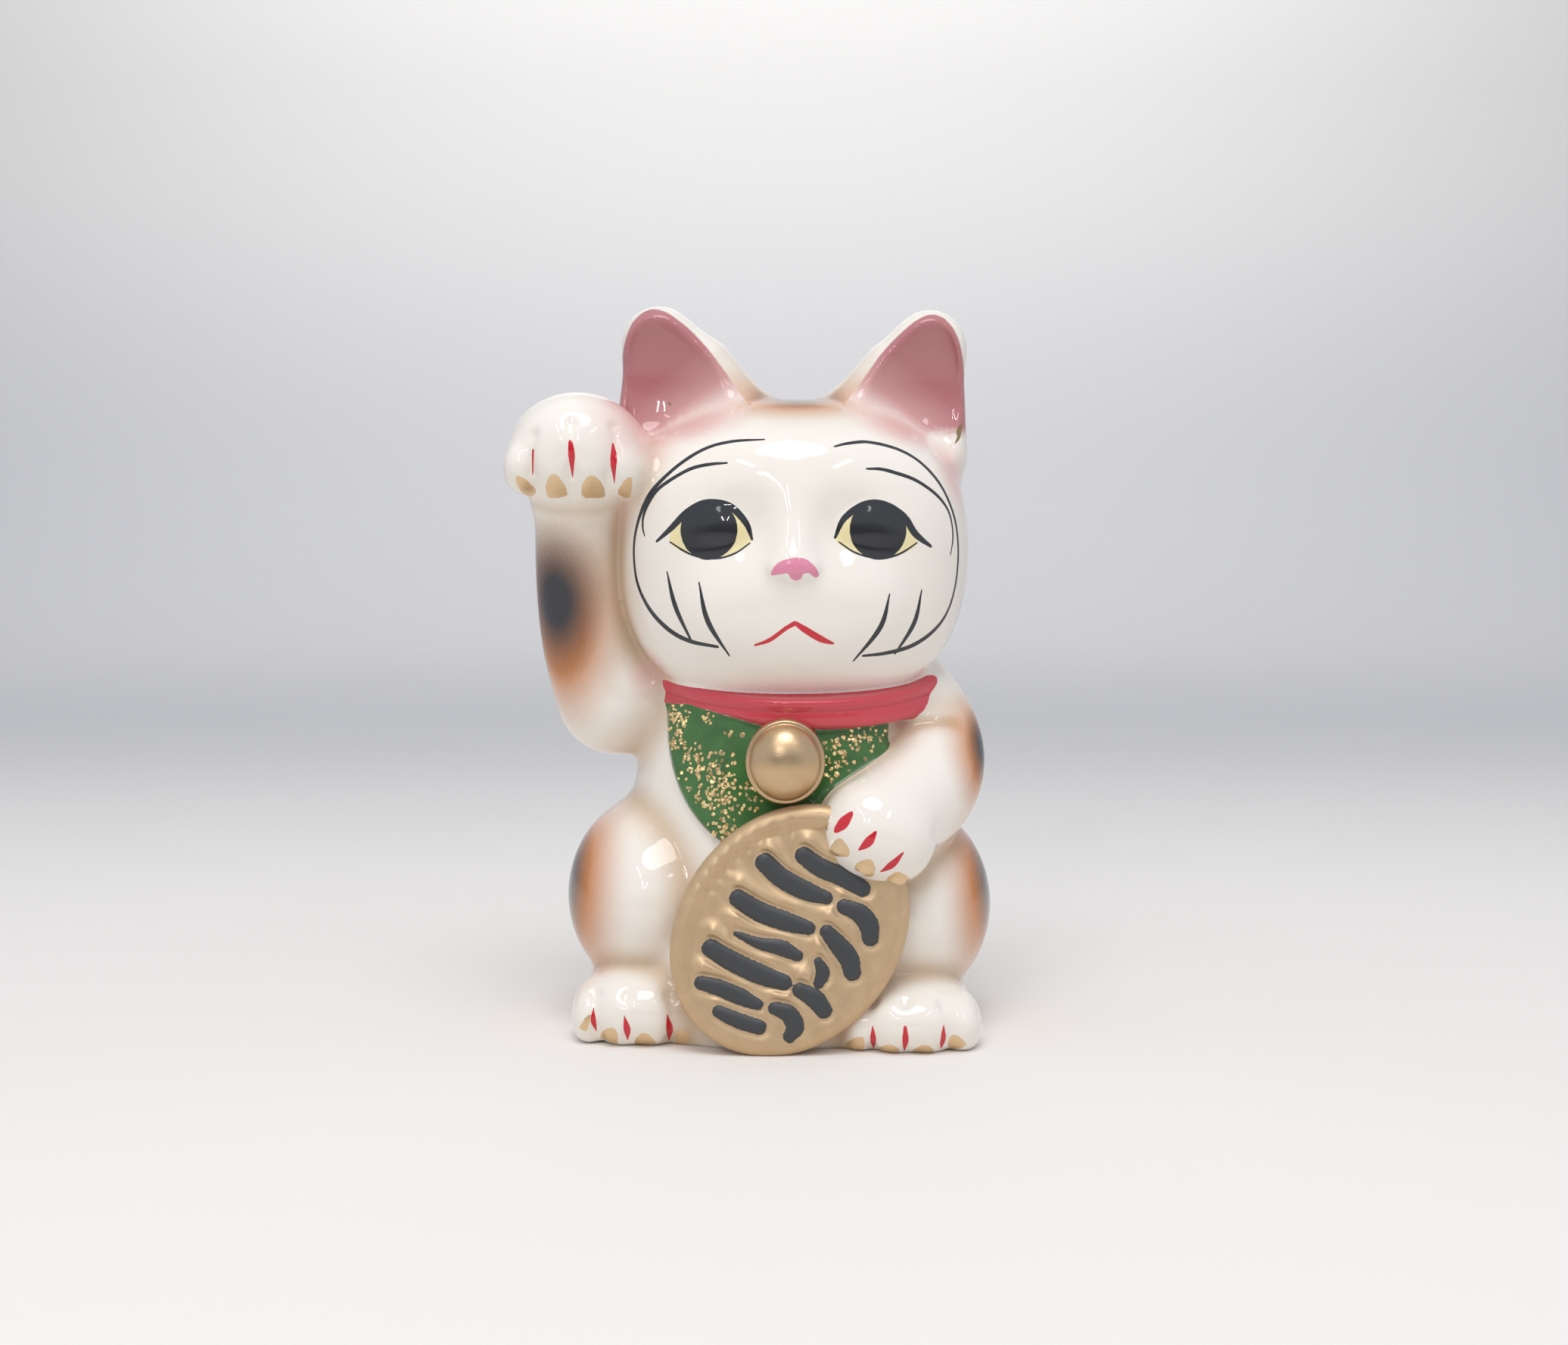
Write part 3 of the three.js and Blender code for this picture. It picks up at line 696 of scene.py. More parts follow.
def set_clay_points(mesh, points):
    mesh.vertices.foreach_set("co", ((points + CLAY_ZERO) * MM).ravel())
    mesh.update()


def with_modifier(mesh, kind, group=None, **settings):
    """The mesh as a modifier leaves it, on a group of its points where one is given"""
    carrier = new_object("carrier", mesh)
    modifier = carrier.modifiers.new(kind, kind)
    if group is not None:
        chosen = carrier.vertex_groups.new(name="chosen")
        chosen.add([int(i) for i in np.flatnonzero(group)], 1, "ADD")
        modifier.vertex_group = "chosen"
    for name, value in settings.items():
        setattr(modifier, name, value)
    made = bpy.data.meshes.new_from_object(carrier.evaluated_get(bpy.context.evaluated_depsgraph_get()))
    bpy.data.objects.remove(carrier)
    return made


STUCK = 0.3  # a point that is still this far off the surface gets more rounds
copy_bm = bmesh.new()
copy_bm.from_mesh(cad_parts["cat_bank"].data)
bmesh.ops.remove_doubles(copy_bm, verts=copy_bm.verts, dist=0.01 * MM)
cast_mesh = bpy.data.meshes.new("cast")
copy_bm.to_mesh(cast_mesh)
copy_bm.free()
for rounds in (5, 3):
    cast_mesh = with_modifier(cast_mesh, "REMESH", mode="VOXEL", voxel_size=SKIN_CELL * MM)
    points = slide_onto(shell, clay_points(cast_mesh), rounds)
    stuck = np.abs(shell(points)) > STUCK
    points[stuck] = slide_onto(shell, points[stuck], 8)
    set_clay_points(cast_mesh, points)
points = clay_points(cast_mesh)
wall_inside = np.abs(hollow(points)) < np.abs(skin(points))
cast_mesh = with_modifier(cast_mesh, "TRIANGULATE")
kept = 1 - INNER_LEFT_OUT * wall_inside.mean()
cast_mesh = with_modifier(cast_mesh, "DECIMATE", group=wall_inside, ratio=kept)

# The paint is put on by hand over the white body, before the clear glaze. Where each colour lies is
# kept at the mesh's points in millimetres: how far the point is inside or outside its edge.
STROKES = {
    "fine_ink": [
        # the outer arc of the brow and cheek on each side, then the upper lids with their wings
        {
            "at": [(4.9, 145.5), (-2.5, 145.1), (-8.5, 143.7), (-13.9, 140.8), (-19, 136.7), (-22.8, 132.4),
                   (-25.3, 127.4), (-26.8, 121.8), (-27, 116.1), (-26, 110.2), (-22.9, 104.3), (-18.1, 99.7),
                   (-13, 97.3), (-6.2, 96.2)],
            "half": [0.25, 0.5, 0.55, 0.55, 0.5, 0.5, 0.5, 0.5, 0.5, 0.55, 0.65, 0.65, 0.6, 0.4],
        },
        {
            "at": [(21.6, 143.8), (25.1, 144.6), (30, 144.9), (36.9, 143.3), (42.5, 140.2), (47.2, 135.3),
                   (50.3, 129.4), (51.9, 123.6), (52.3, 116.5), (51.4, 109), (49.2, 103), (45.6, 98.9),
                   (40.5, 95.9), (34.6, 94.5), (28.4, 94)],
            "half": [0.25, 0.45, 0.55, 0.55, 0.55, 0.55, 0.5, 0.5, 0.5, 0.5, 0.55, 0.6, 0.6, 0.55, 0.35],
        },
        {
            "at": [(-21.2, 121), (-17.5, 124.3), (-13.6, 128.1), (-8.9, 130.3), (-3.4, 129.5), (0.5, 125.7),
                   (2, 121.7)],
            "half": [0.32, 0.75, 0.95, 1., 0.95, 0.75, 0.32],
        },
        {
            "at": [(21.7, 122.1), (24, 126.8), (28.8, 129.9), (33.5, 129.9), (38.2, 127.2), (41.2, 122.9),
                   (45.1, 119.8)],
            "half": [0.32, 0.75, 0.95, 1., 0.95, 0.9, 0.39],
        },
    ],
    "brush_ink": [
        # the inner arc and the two whiskers on each side
        {
            "at": [(-4, 139.9), (-8, 139.6), (-12, 138.8), (-15.3, 137.3), (-18.4, 135.4), (-21, 133.4),
                   (-23, 130.6), (-24.4, 127.4), (-24.7, 124.6), (-24.2, 122.2)],
            "half": [0.25, 0.45, 0.5, 0.5, 0.5, 0.45, 0.45, 0.4, 0.35, 0.2],
        },
        {
            "at": [(29.3, 138.5), (33, 138.4), (36.8, 137.4), (40.6, 136.1), (44.1, 134.1), (47.2, 131.6),
                   (49.4, 128.7), (50.5, 125.4), (50.8, 121.5), (50.2, 117.6)],
            "half": [0.25, 0.45, 0.5, 0.5, 0.5, 0.5, 0.45, 0.4, 0.35, 0.2],
        },
        {"at": [(-18.6, 113.9), (-16.6, 105.8), (-12.7, 97.4)], "half": [0.19, 0.71, 0.39]},
        {"at": [(-10.7, 111.6), (-8.6, 102.5), (-3.4, 94)], "half": [0.19, 0.71, 0.22]},
        {"at": [(34.8, 108.8), (32.6, 101), (26.1, 92.7)], "half": [0.19, 0.71, 0.22]},
        {"at": [(42.8, 109.5), (41, 101.6), (36.3, 94.1)], "half": [0.19, 0.71, 0.32]},
        {"at": [(-17.9, 121), (-12.7, 118.1), (-6.9, 117.2), (-2.2, 118.4), (1.5, 120.9)],
         "half": [0.19, 0.27, 0.27, 0.27, 0.19]},
        {"at": [(22.6, 121.2), (26.8, 118.5), (32.5, 117.2), (37.3, 118.2), (41.6, 120.8)],
         "half": [0.19, 0.27, 0.27, 0.27, 0.19]},
    ],
    "old_marks": [
        # a dark speck in one ear, and the glaze's brown fleck at the foot of the other
        {"at": [(-19.3, 154.9), (-18.9, 154.4)], "half": [0.28, 0.22]},
        {"at": [(54.2, 149.8), (53.6, 148), (53.3, 146.2), (52.4, 144.8)], "half": [0.15, 0.7, 0.45, 0.15]},
    ],
    "red_strokes": [
        # the mouth, then the strokes between the toes of the paw, the feet and the resting paw
        {"at": [(2.7, 96.8), (6.2, 98.1), (10, 100.9), (12.3, 102.2)], "half": [0.3, 0.5, 0.5, 0.6]},
        {"at": [(12.3, 102.2), (14.6, 100.6), (18.4, 98.3), (21.3, 97.2)], "half": [0.5, 0.8, 0.8, 0.3]},
        {"at": [(-50.5, 143), (-50.8, 137)], "half": [0.35, 0.12]},
        {"at": [(-41.3, 145), (-41, 141.5), (-41, 136.4)], "half": [0.5, 0.8, 0.08]},
        {"at": [(-31.4, 144.4), (-31.2, 140.6), (-31.2, 135)], "half": [0.35, 0.85, 0.08]},
        {"at": [(-36.2, 9.2), (-36.3, 6.4), (-35.6, 3.4)], "half": [0.1, 0.65, 0.1]},
        {"at": [(-28.6, 8.2), (-28, 4.9), (-28, 1.8)], "half": [0.1, 0.85, 0.1]},
        {"at": [(-18.4, 8.2), (-18, 4.6), (-18.2, 1)], "half": [0.1, 0.9, 0.1]},
        {"at": [(30.6, 6.9), (30.8, 3.6), (31, 0.5)], "half": [0.1, 0.75, 0.1]},
        {"at": [(38.2, 7.2), (38.3, 3.8), (38.2, 0.7)], "half": [0.4, 0.75, 0.1]},
        {"at": [(47.4, 7.2), (47.3, 3.8), (47, 1)], "half": [0.15, 0.85, 0.1]},
        {"at": [(21.8, 53.4), (23.6, 55.4), (25.4, 57.6)], "half": [0.8, 1.5, 0.7]},
        {"at": [(27.2, 49.2), (29.4, 51.2), (31.1, 53.6)], "half": [0.25, 1.1, 0.35]},
        {"at": [(32.4, 43.8), (34.9, 45.6), (37.6, 48.6)], "half": [0.2, 0.95, 0.25]},
    ],
}
EYES = [
    {
        "iris": (-8.6, 124.0),
        "opening": [
            (-17.9, 121), (-15.6, 126.4), (-8.9, 130.3), (-3.4, 129.5), (0.6, 125.4), (1.8, 121.2),
            (-2.2, 118.3), (-6.9, 117.1), (-12.7, 118),
        ],
    },
    {
        "iris": (32.3, 124.0),
        "opening": [
            (21.9, 121.6), (23.6, 126.4), (28.8, 129.9), (33.5, 129.9), (38.2, 127), (41.7, 120.8),
            (37.3, 118.1), (32.5, 117.1), (26.8, 118.4),
        ],
    },
]
IRIS = {"radius": 7.15, "over_rim": 0.5}
UNPAINTED = 9.0  # the distance that stands for far from any paint
STROKE_REACH = 3  # a stroke's line is looked for this far around it
NOSE_PAINT = [(6.5, 113.6), (7.4, 115.7), (9.2, 117), (12.2, 117.7), (14.8, 117.3), (17, 115.4),
              (17.9, 113.5), (16.8, 113), (15.6, 114), (14.2, 113.9), (13.5, 112.7), (12.4, 112.3),
              (11.3, 112.8), (10.5, 113.9), (8.6, 113.8)]
NAIL_SHAPE = [(-0.5, -0.42), (-0.2, -0.5), (0.3, -0.5), (0.5, -0.35), (0.42, 0.1), (0.1, 0.5),
              (-0.25, 0.38), (-0.48, 0)]
NAILS = [
    # where each gilded claw is, how wide and high it is, and how it leans
    {"at": (-52.9, 134.4), "size": (3.2, 5.6), "lean": 34},
    {"at": (-45.2, 134.4), "size": (4.9, 5.6), "lean": 6},
    {"at": (-36.3, 134.2), "size": (5.3, 5.4), "lean": 0},
    {"at": (-28.3, 134.1), "size": (2.9, 5.2), "lean": -22},
    {"at": (-38, 5.8), "size": (1.9, 4.4), "lean": -25},
    {"at": (-32.1, 2.9), "size": (4.4, 4.4), "lean": -18},
    {"at": (-23.9, 1.9), "size": (4.9, 3.8), "lean": 8},
    {"at": (-15, 2.3), "size": (3.8, 3.8), "lean": 35},
    {"at": (27, 2), "size": (4, 4.6), "lean": -30},
    {"at": (34.6, 1.1), "size": (5, 3), "lean": 0},
    {"at": (42.8, 1.1), "size": (5, 3), "lean": 0},
    {"at": (50.4, 2.6), "size": (4, 4), "lean": 30},
    {"at": (18.6, 55.2), "size": (3.2, 4.8), "lean": -12},
    {"at": (22.8, 49.4), "size": (4.4, 4.4), "lean": 0},
    {"at": (29.1, 45), "size": (4.8, 4.2), "lean": -25},
    {"at": (36.4, 41.5), "size": (5.8, 4.4), "lean": 12},
]


def laid_on_cat(strokes):
    """Each stroke as a smooth line on the cat's front, with its half width along it"""
    curves = [smooth_curve(np.column_stack([stroke["at"], stroke["half"]])) for stroke in strokes]
    ends = np.cumsum([len(curve) for curve in curves])[:-1]
    lines = np.split(front_of(skin, np.concatenate(curves)[:, :2]), ends)
    return [(line, curve[:, 2]) for line, curve in zip(lines, curves)]


def stroke_field(points, normals, laid):
    """What the glaze needs to draw fine strokes: the way across the nearest stroke, the distance to
    it, and its half width there, which runs below nothing past its ends"""
    field = np.tile((UNPAINTED, UNPAINTED, 0.0), (len(points), 1))
    for line, half in laid:
        low, high = line.min(0) - STROKE_REACH, line.max(0) + STROKE_REACH
        near = np.flatnonzero(((points > low) & (points < high)).all(1))
        best, t, away = along_line(points[near], line)
        span = line[best + 1] - line[best]
        held = np.clip(t, 0, 1)
        across = np.cross(span, normals[near])
        across /= np.linalg.norm(across, axis=1)[:, None]
        side = ((points[near] - line[best]) * across).sum(1)
        wide = half[best] + (half[best + 1] - half[best]) * held
        wide -= np.abs(t - held) * np.linalg.norm(span, axis=1)
        closer = away < field[near, 1]
        field[near[closer]] = np.column_stack([side, away, wide])[closer]
    return field


def nail_outline(nail):
    turn = math.radians(nail["lean"])
    outline = np.array(NAIL_SHAPE) * nail["size"]
    sine, cosine = math.sin(turn), math.cos(turn)
    return outline @ np.array(((cosine, sine), (-sine, cosine))) + nail["at"]


laid_strokes = {name: laid_on_cat(strokes) for name, strokes in STROKES.items()}
# the outlines that are filled with paint, and how far from their middles they reach on the cat
SHAPES = {
    "eye_white": ([eye["opening"] for eye in EYES], 22),
    "nose": ([NOSE_PAINT], 12),
    "claws": ([nail_outline(nail) for nail in NAILS], 7),
}
shape_middles = {
    name: front_of(skin, [smooth_curve(outline, closed=True).mean(0) for outline in outlines])
    for name, (outlines, reach) in SHAPES.items()
}
iris_middles = front_of(skin, [eye["iris"] for eye in EYES])


def shape_field(points, name):
    """How far outside the nearest of some filled outlines the points on the cat's front are"""
    outlines, reach = SHAPES[name]
    field = np.full(len(points), UNPAINTED)
    for outline, middle in zip(outlines, shape_middles[name]):
        near = np.flatnonzero(np.linalg.norm(points - middle, axis=1) < reach)
        field[near] = np.minimum(field[near], outside_of(outline, points[near][:, (0, 2)]))
    return field


def least(fields):
    return np.minimum.reduce(list(fields))


# the ear's pink ends softly at its foot: above the skull, above a height and off the raised paw
EAR_PINK = {"off_skull": 0.5, "lowest": 147.5, "off_paw": 1.8, "softness": 0.13}
EAR_FADE = {"middle": 11, "slope": 0.32}  # it is paler towards the middle of the head


def painted_fields(points, normals):
    """Every colour's field at the points"""
    fields = {name: stroke_field(points, normals, laid) for name, laid in laid_strokes.items()}
    fields |= {name: shape_field(points, name) for name in SHAPES}
    round_irises = least(np.linalg.norm(points - iris, axis=1) - IRIS["radius"] for iris in iris_middles)
    fields["iris"] = np.maximum(round_irises, fields["eye_white"] - IRIS["over_rim"])
    above_skull = skull(points)
    fields["ear"] = np.full(len(points), UNPAINTED)
    for side in EARS:
        beside = np.linalg.norm(points - np.array(side["dish"]), axis=1) < EAR_REACH
        near = beside & (points[:, 1] < side["tip"][1])
        outline_at = outside_of(side["pink"], points[near][:, (0, 2)])
        foot = np.maximum(EAR_PINK["off_skull"] - above_skull[near], EAR_PINK["lowest"] - points[near, 2])
        foot = np.maximum(foot, EAR_PINK["off_paw"] - raised_paw(points[near]))
        fields["ear"][near] = np.maximum(outline_at, EAR_PINK["softness"] * foot)
    from_middle = np.abs(points[:, 0] - FACE_X)
    fields["ear_fade"] = above_skull + EAR_FADE["slope"] * (from_middle - EAR_FADE["middle"])
    collar_at, bib_at = collar(points), bib(points)
    limbs_at = least(form(points) for form in (head, raised_arm, resting_arm))
    fields["collar"] = collar_at - np.minimum(np.minimum(bib_at, torso(points)), limbs_at)
    fields["bib"] = bib_at - np.minimum(np.minimum(torso(points), limbs_at), collar_at)
    own = (points - np.array(COLLAR["at"])) @ own_axes(pitch=COLLAR["pitch"])
    fields["collar_up"] = own[:, 2]
    return fields


SHORTEST_SPLIT = 0.55  # millimetres; a shorter edge is left whole


def refine(mesh, chosen, form, rounds):
    """Splits the triangles round the chosen points in four and lays the new points on the form"""
    made = bmesh.new()
    made.from_mesh(mesh)
    made.verts.ensure_lookup_table()
    picked = {edge for i in np.flatnonzero(chosen) for edge in made.verts[i].link_edges}
    long_enough = [edge for edge in picked if edge.calc_length() > SHORTEST_SPLIT * MM]
    bmesh.ops.subdivide_edges(made, edges=long_enough, cuts=1, use_grid_fill=True)
    bmesh.ops.triangulate(made, faces=[face for face in made.faces if len(face.verts) > 3])
    finer = bpy.data.meshes.new("finer")
    made.to_mesh(finer)
    made.free()
    points = clay_points(finer)
    new = np.arange(len(points)) >= len(mesh.vertices)
    points[new] = slide_onto(form, points[new], rounds)
    set_clay_points(finer, points)
    return finer


def bent(mesh, least_angle):
    """The points where the surface turns by more than an angle, in degrees, across one cell"""
    normals = mesh_points(mesh, normals=True)
    pairs = np.empty(len(mesh.edges) * 2, int)
    mesh.edges.foreach_get("vertices", pairs)
    a, b = pairs.reshape(-1, 2).T
    turned = (normals[a] * normals[b]).sum(1) < math.cos(math.radians(least_angle))
    chosen = np.zeros(len(mesh.vertices), bool)
    chosen[a[turned]] = chosen[b[turned]] = True
    return chosen


BEND = 14  # degrees across one cell
ON_SKIN = 0.5
for paint_reach in (1.6, 0.8):
    points, normals = clay_points(cast_mesh), mesh_points(cast_mesh, normals=True)
    fields = painted_fields(points, normals)
    outside = np.abs(skin(points)) < ON_SKIN
    chosen = bent(cast_mesh, BEND)
    for name in ("eye_white", "iris", "nose", "claws", "ear", "collar", "bib"):
        chosen |= np.abs(fields[name]) < paint_reach
    for name in STROKES:
        chosen |= fields[name][:, 1] < paint_reach
    cast_mesh = refine(cast_mesh, chosen & outside, shell, 2)

# the glaze stays inside the casting's own size
box_low, box_high = np.array([list(corner) for corner in cad_box]) / MM - CLAY_ZERO
set_clay_points(cast_mesh, np.clip(clay_points(cast_mesh), box_low, box_high))

# Airbrushed patches fade from black through orange into the white, and pink is dusted round the ears and
# down the side of the face. A thin tan lies in the creases and on the sides of the forearm, thighs, shoulder
# and head, partly the airbrush's own wash and partly painted shade.
AIRBRUSHED_AND_SHADED = {
    "black_air": [
        {"at": (-46.3, -13, 106.5), "reach": (15.5, 25, 27)},
        {"at": (-46, -10, 38), "reach": (11.5, 36, 29)},
        {"at": (62.3, -12, 37), "reach": (9.5, 34, 26)},
        {"at": (60.2, -14, 70), "reach": (8.8, 20, 15.5)},
        {"at": (12.8, -8, 157.5), "reach": (17, 17, 9)},
        {"at": (28, 42, 36), "reach": (14, 14, 13)},
    ],
    "orange_air": [
        {"at": (-46.3, -13, 99), "reach": (20, 28, 34)},
        {"at": (-43.5, -14, 36), "reach": (21, 46, 38)},
        {"at": (60.5, -16, 35), "reach": (18, 44, 36)},
        {"at": (58.5, -14, 66.5), "reach": (15.5, 28, 24)},
        {"at": (12.8, -12, 158), "reach": (27, 21, 12.5)},
        {"at": (28, 42, 34), "reach": (20, 20, 21)},
    ],
    "pink_air": [
        {"at": (-28, -18, 149), "reach": (19, 22, 17)},
        {"at": (-27, -10, 136), "reach": (10, 18, 24)},
        {"at": (-12, -15, 149.5), "reach": (20, 16, 9)},
        {"at": (39, -15, 149), "reach": (18, 16, 9)},
        {"at": (50, -10, 136), "reach": (9, 14, 16)},
        {"at": (-24, -18, 88), "reach": (8, 14, 9)},
    ],
    # tan, partly the airbrush's own wash and partly painted shade on the sides of the forearm, thighs,
    # shoulder and head
    "tan_air_and_shade": [
        {"at": (-40, -14, 112), "reach": (22, 26, 30)},
        {"at": (-41, -12, 125), "reach": (20, 22, 11)},
        {"at": (-44, -12, 26), "reach": (17, 34, 26)},
        {"at": (61, -12, 28), "reach": (17, 36, 26)},
        {"at": (47, -12, 78), "reach": (14, 18, 9)},
        {"at": (12.8, -10, 160), "reach": (36, 36, 26)},
    ],
}


def smooth_step(values, low, high):
    t = np.clip((values - low) / (high - low), 0, 1)
    return t * t * (3 - 2 * t)


def patch_amount(points, patches):
    """How much of a colour lies at the points, from one in a patch's middle to nothing at its reach"""
    amount = np.zeros(len(points))
    for patch in patches:
        out = np.linalg.norm((points - np.array(patch["at"])) / np.array(patch["reach"]), axis=1)
        amount = np.maximum(amount, 1 - smooth_step(out, 0.05, 1.0))
    return amount


def crease(a, b, wide):
    """One where two lumps meet, fading out to the width on either side"""
    return np.exp(-((np.maximum(np.abs(a), np.abs(b)) / wide) ** 2))


def give(mesh, name, values):
    """Keeps one value or one vector at each of the mesh's points"""
    kind, part = ("FLOAT_VECTOR", "vector") if values.ndim == 2 else ("FLOAT", "value")
    attribute = mesh.attributes.new(name, kind, "POINT")
    attribute.data.foreach_set(part, values.astype(np.float32).ravel())


# how far the tan, partly painted shade, spreads from each crease, and between which heights it comes in over
# the thighs and shows at the shoulder
TAN_SPREAD = {"body": 4, "arms": 5, "shoulder": 6, "groove": 3}
THIGH_TAN = (18, 34)
SHOULDER_TAN = (65, 85)
points, normals = clay_points(cast_mesh), mesh_points(cast_mesh, normals=True)
for name, values in painted_fields(points, normals).items():
    give(cast_mesh, name, values)
torso_at, thighs_at, feet_at, head_at = (form(points) for form in (torso, thighs, feet, head))
seat_at, arm_at, paw_at = seat(points), raised_arm(points), resting_arm(points)
# painted shade with some real tan wash: tan where two lumps meet, in the creases
tan = crease(torso_at, thighs_at, TAN_SPREAD["body"]) * smooth_step(points[:, 2], *THIGH_TAN)
for strength, a, b, wide in [
    (1, feet_at, seat_at, TAN_SPREAD["body"]),
    (1, arm_at, head_at, TAN_SPREAD["arms"]),
    (1, paw_at, seat_at, TAN_SPREAD["arms"]),
    (0.8, arm_at, seat_at, TAN_SPREAD["shoulder"]),
    (0.9, bare_arm(points), raised_paw(points), TAN_SPREAD["body"]),
]:
    tan = np.maximum(tan, strength * crease(a, b, wide))
at_shoulder = (points[:, 2] > SHOULDER_TAN[0]) * (points[:, 2] < SHOULDER_TAN[1])
tan = np.maximum(tan, np.exp(-((groove_lines(points) / TAN_SPREAD["groove"]) ** 2)) * at_shoulder)
for name, patches in AIRBRUSHED_AND_SHADED.items():
    amount = patch_amount(points, patches)
    give(cast_mesh, name, np.maximum(tan, 0.6 * amount) if name == "tan_air_and_shade" else amount)

# clear-glazed white earthenware: a warm white that mirrors the lights sharply. The paint lies under
# the glaze and shines with it, and only the gilded claws are duller.
AIRBRUSH_AND_SHADE_TONES = [
    # each colour, and between which amounts of it the white gives way to it
    # the tan stands in part for painted shade in the creases and on the sides
    ("tan_air_and_shade", "#c8a67c", 0.05, 1.35),
    ("pink_air", "#dfa49e", 0.05, 1.35),
    ("orange_air", "#cf864e", 0.04, 0.8),
    ("black_air", "#35363b", 0.1, 0.9),
]
DUST = 0.16  # how much the spray's grain shows in them
EAR_TONES = [("#d8a5a1", 1.0, 9.0), ("#b9797b", 5.0, 19.0)]  # from the ear's pale foot to its top
COLLAR_LINE = {"at": 0.9, "half": 0.3}  # the darker line in the collar's groove
BRUSHED = [
    # each kind of stroke, its paint and half the width of its soft edge
    ("fine_ink", "#303235", 0.06),
    ("brush_ink", "#303235", 0.06),
    ("old_marks", "#8a7350", 0.1),
    ("red_strokes", "#d02b38", 0.08),
]
WAVER = {"filled": 0.3, "stroke": 0.12, "claw": 0.6}  # how unsteady each kind of edge is
NEAR_STROKE = 1.9
CLAW_METAL = 0.75
GLAZE_ROUGH, CLAW_ROUGH = 0.045, 0.4

glaze, tree, shader = new_material("clear-glazed white earthenware")
place = add_node(tree, "TexCoord", {}, {}).outputs["Object"]
uneven = add_node(tree, "TexNoise", {}, {"Vector": place, "Scale": 700.0, "Detail": 2.0}).outputs["Fac"]
grain = add_node(tree, "TexNoise", {}, {"Vector": place, "Scale": 3500.0, "Detail": 2.0}).outputs["Fac"]


def paint_mask(distance, waver, edge):
    """One inside a painted outline and nothing outside it, along a soft edge that wavers a little"""
    wavering = {0: uneven, 1: waver, 2: distance}
    moved = add_node(tree, "Math", {"operation": "MULTIPLY_ADD"}, wavering).outputs[0]
    reach = {"Value": moved, "From Min": waver / 2 + edge, "From Max": waver / 2 - edge}
    return add_node(tree, "MapRange", SMOOTH, reach).outputs["Result"]


surface = colour("#f4ece1")
for name, hex_value, low, high in AIRBRUSH_AND_SHADE_TONES:
    read = add_node(tree, "Attribute", {"attribute_name": name}, {}).outputs["Fac"]
    dusty = add_node(tree, "Math", {"operation": "MULTIPLY_ADD"}, {0: grain, 1: DUST, 2: read}).outputs[0]
    shifted = add_node(tree, "Math", {"operation": "SUBTRACT"}, {0: dusty, 1: DUST / 2}).outputs[0]
    reach = {"Value": shifted, "From Min": low, "From Max": high}
    mask = add_node(tree, "MapRange", {}, reach).outputs["Result"]
    surface = add_node(tree, "Mix", COLOURS, {0: mask, 6: surface, 7: colour(hex_value)}).outputs[2]

fade = add_node(tree, "Attribute", {"attribute_name": "ear_fade"}, {}).outputs["Fac"]
ear_pink = colour("#f0dcd3")
for hex_value, low, high in EAR_TONES:
    reach = {"Value": fade, "From Min": low, "From Max": high}
    mask = add_node(tree, "MapRange", {}, reach).outputs["Result"]
    ear_pink = add_node(tree, "Mix", COLOURS, {0: mask, 6: ear_pink, 7: colour(hex_value)}).outputs[2]
up = add_node(tree, "Attribute", {"attribute_name": "collar_up"}, {}).outputs["Fac"]
band = {0: up, 1: COLLAR_LINE["at"], 2: COLLAR_LINE["half"]}
in_line = add_node(tree, "Math", {"operation": "COMPARE"}, band).outputs[0]
reds = {0: in_line, 6: colour("#d24a55"), 7: colour("#c4404b")}
collar_red = add_node(tree, "Mix", COLOURS, reds).outputs[2]
mottle = add_node(tree, "TexNoise", {}, {"Vector": place, "Scale": 260.0, "Detail": 3.0}).outputs["Fac"]
greens = {0: mottle, 6: colour("#37592f"), 7: colour("#4f8044")}
bib_green = add_node(tree, "Mix", COLOURS, greens).outputs[2]
for name, paint, edge in [
    ("ear", ear_pink, 0.25),
    ("bib", bib_green, 0.08),
    ("collar", collar_red, 0.08),
    ("eye_white", colour("#efe0ad"), 0.06),
    ("iris", colour("#333336"), 0.05),
    ("nose", colour("#e48fa8"), 0.05),
]:
    read = add_node(tree, "Attribute", {"attribute_name": name}, {}).outputs["Fac"]
    mask = paint_mask(read, WAVER["filled"], edge)
    surface = add_node(tree, "Mix", COLOURS, {0: mask, 6: surface, 7: paint}).outputs[2]
for name, hex_value, edge in BRUSHED:
    read = add_node(tree, "Attribute", {"attribute_name": name}, {}).outputs["Vector"]
    parts = add_node(tree, "SeparateXYZ", {}, {"Vector": read}).outputs
    across = add_node(tree, "Math", {"operation": "ABSOLUTE"}, {0: parts["X"]}).outputs[0]
    over = add_node(tree, "Math", {"operation": "SUBTRACT"}, {0: across, 1: parts["Z"]}).outputs[0]
    mask = paint_mask(over, WAVER["stroke"], edge)
    close = add_node(tree, "Math", {"operation": "LESS_THAN"}, {0: parts["Y"], 1: NEAR_STROKE}).outputs[0]
    both = add_node(tree, "Math", {"operation": "MULTIPLY"}, {0: mask, 1: close}).outputs[0]
    surface = add_node(tree, "Mix", COLOURS, {0: both, 6: surface, 7: colour(hex_value)}).outputs[2]
read = add_node(tree, "Attribute", {"attribute_name": "claws"}, {}).outputs["Fac"]
gilt = paint_mask(read, WAVER["claw"], 0.08)
surface = add_node(tree, "Mix", COLOURS, {0: gilt, 6: surface, 7: colour("#e2c59c")}).outputs[2]
tree.links.new(surface, shader.inputs["Base Color"])
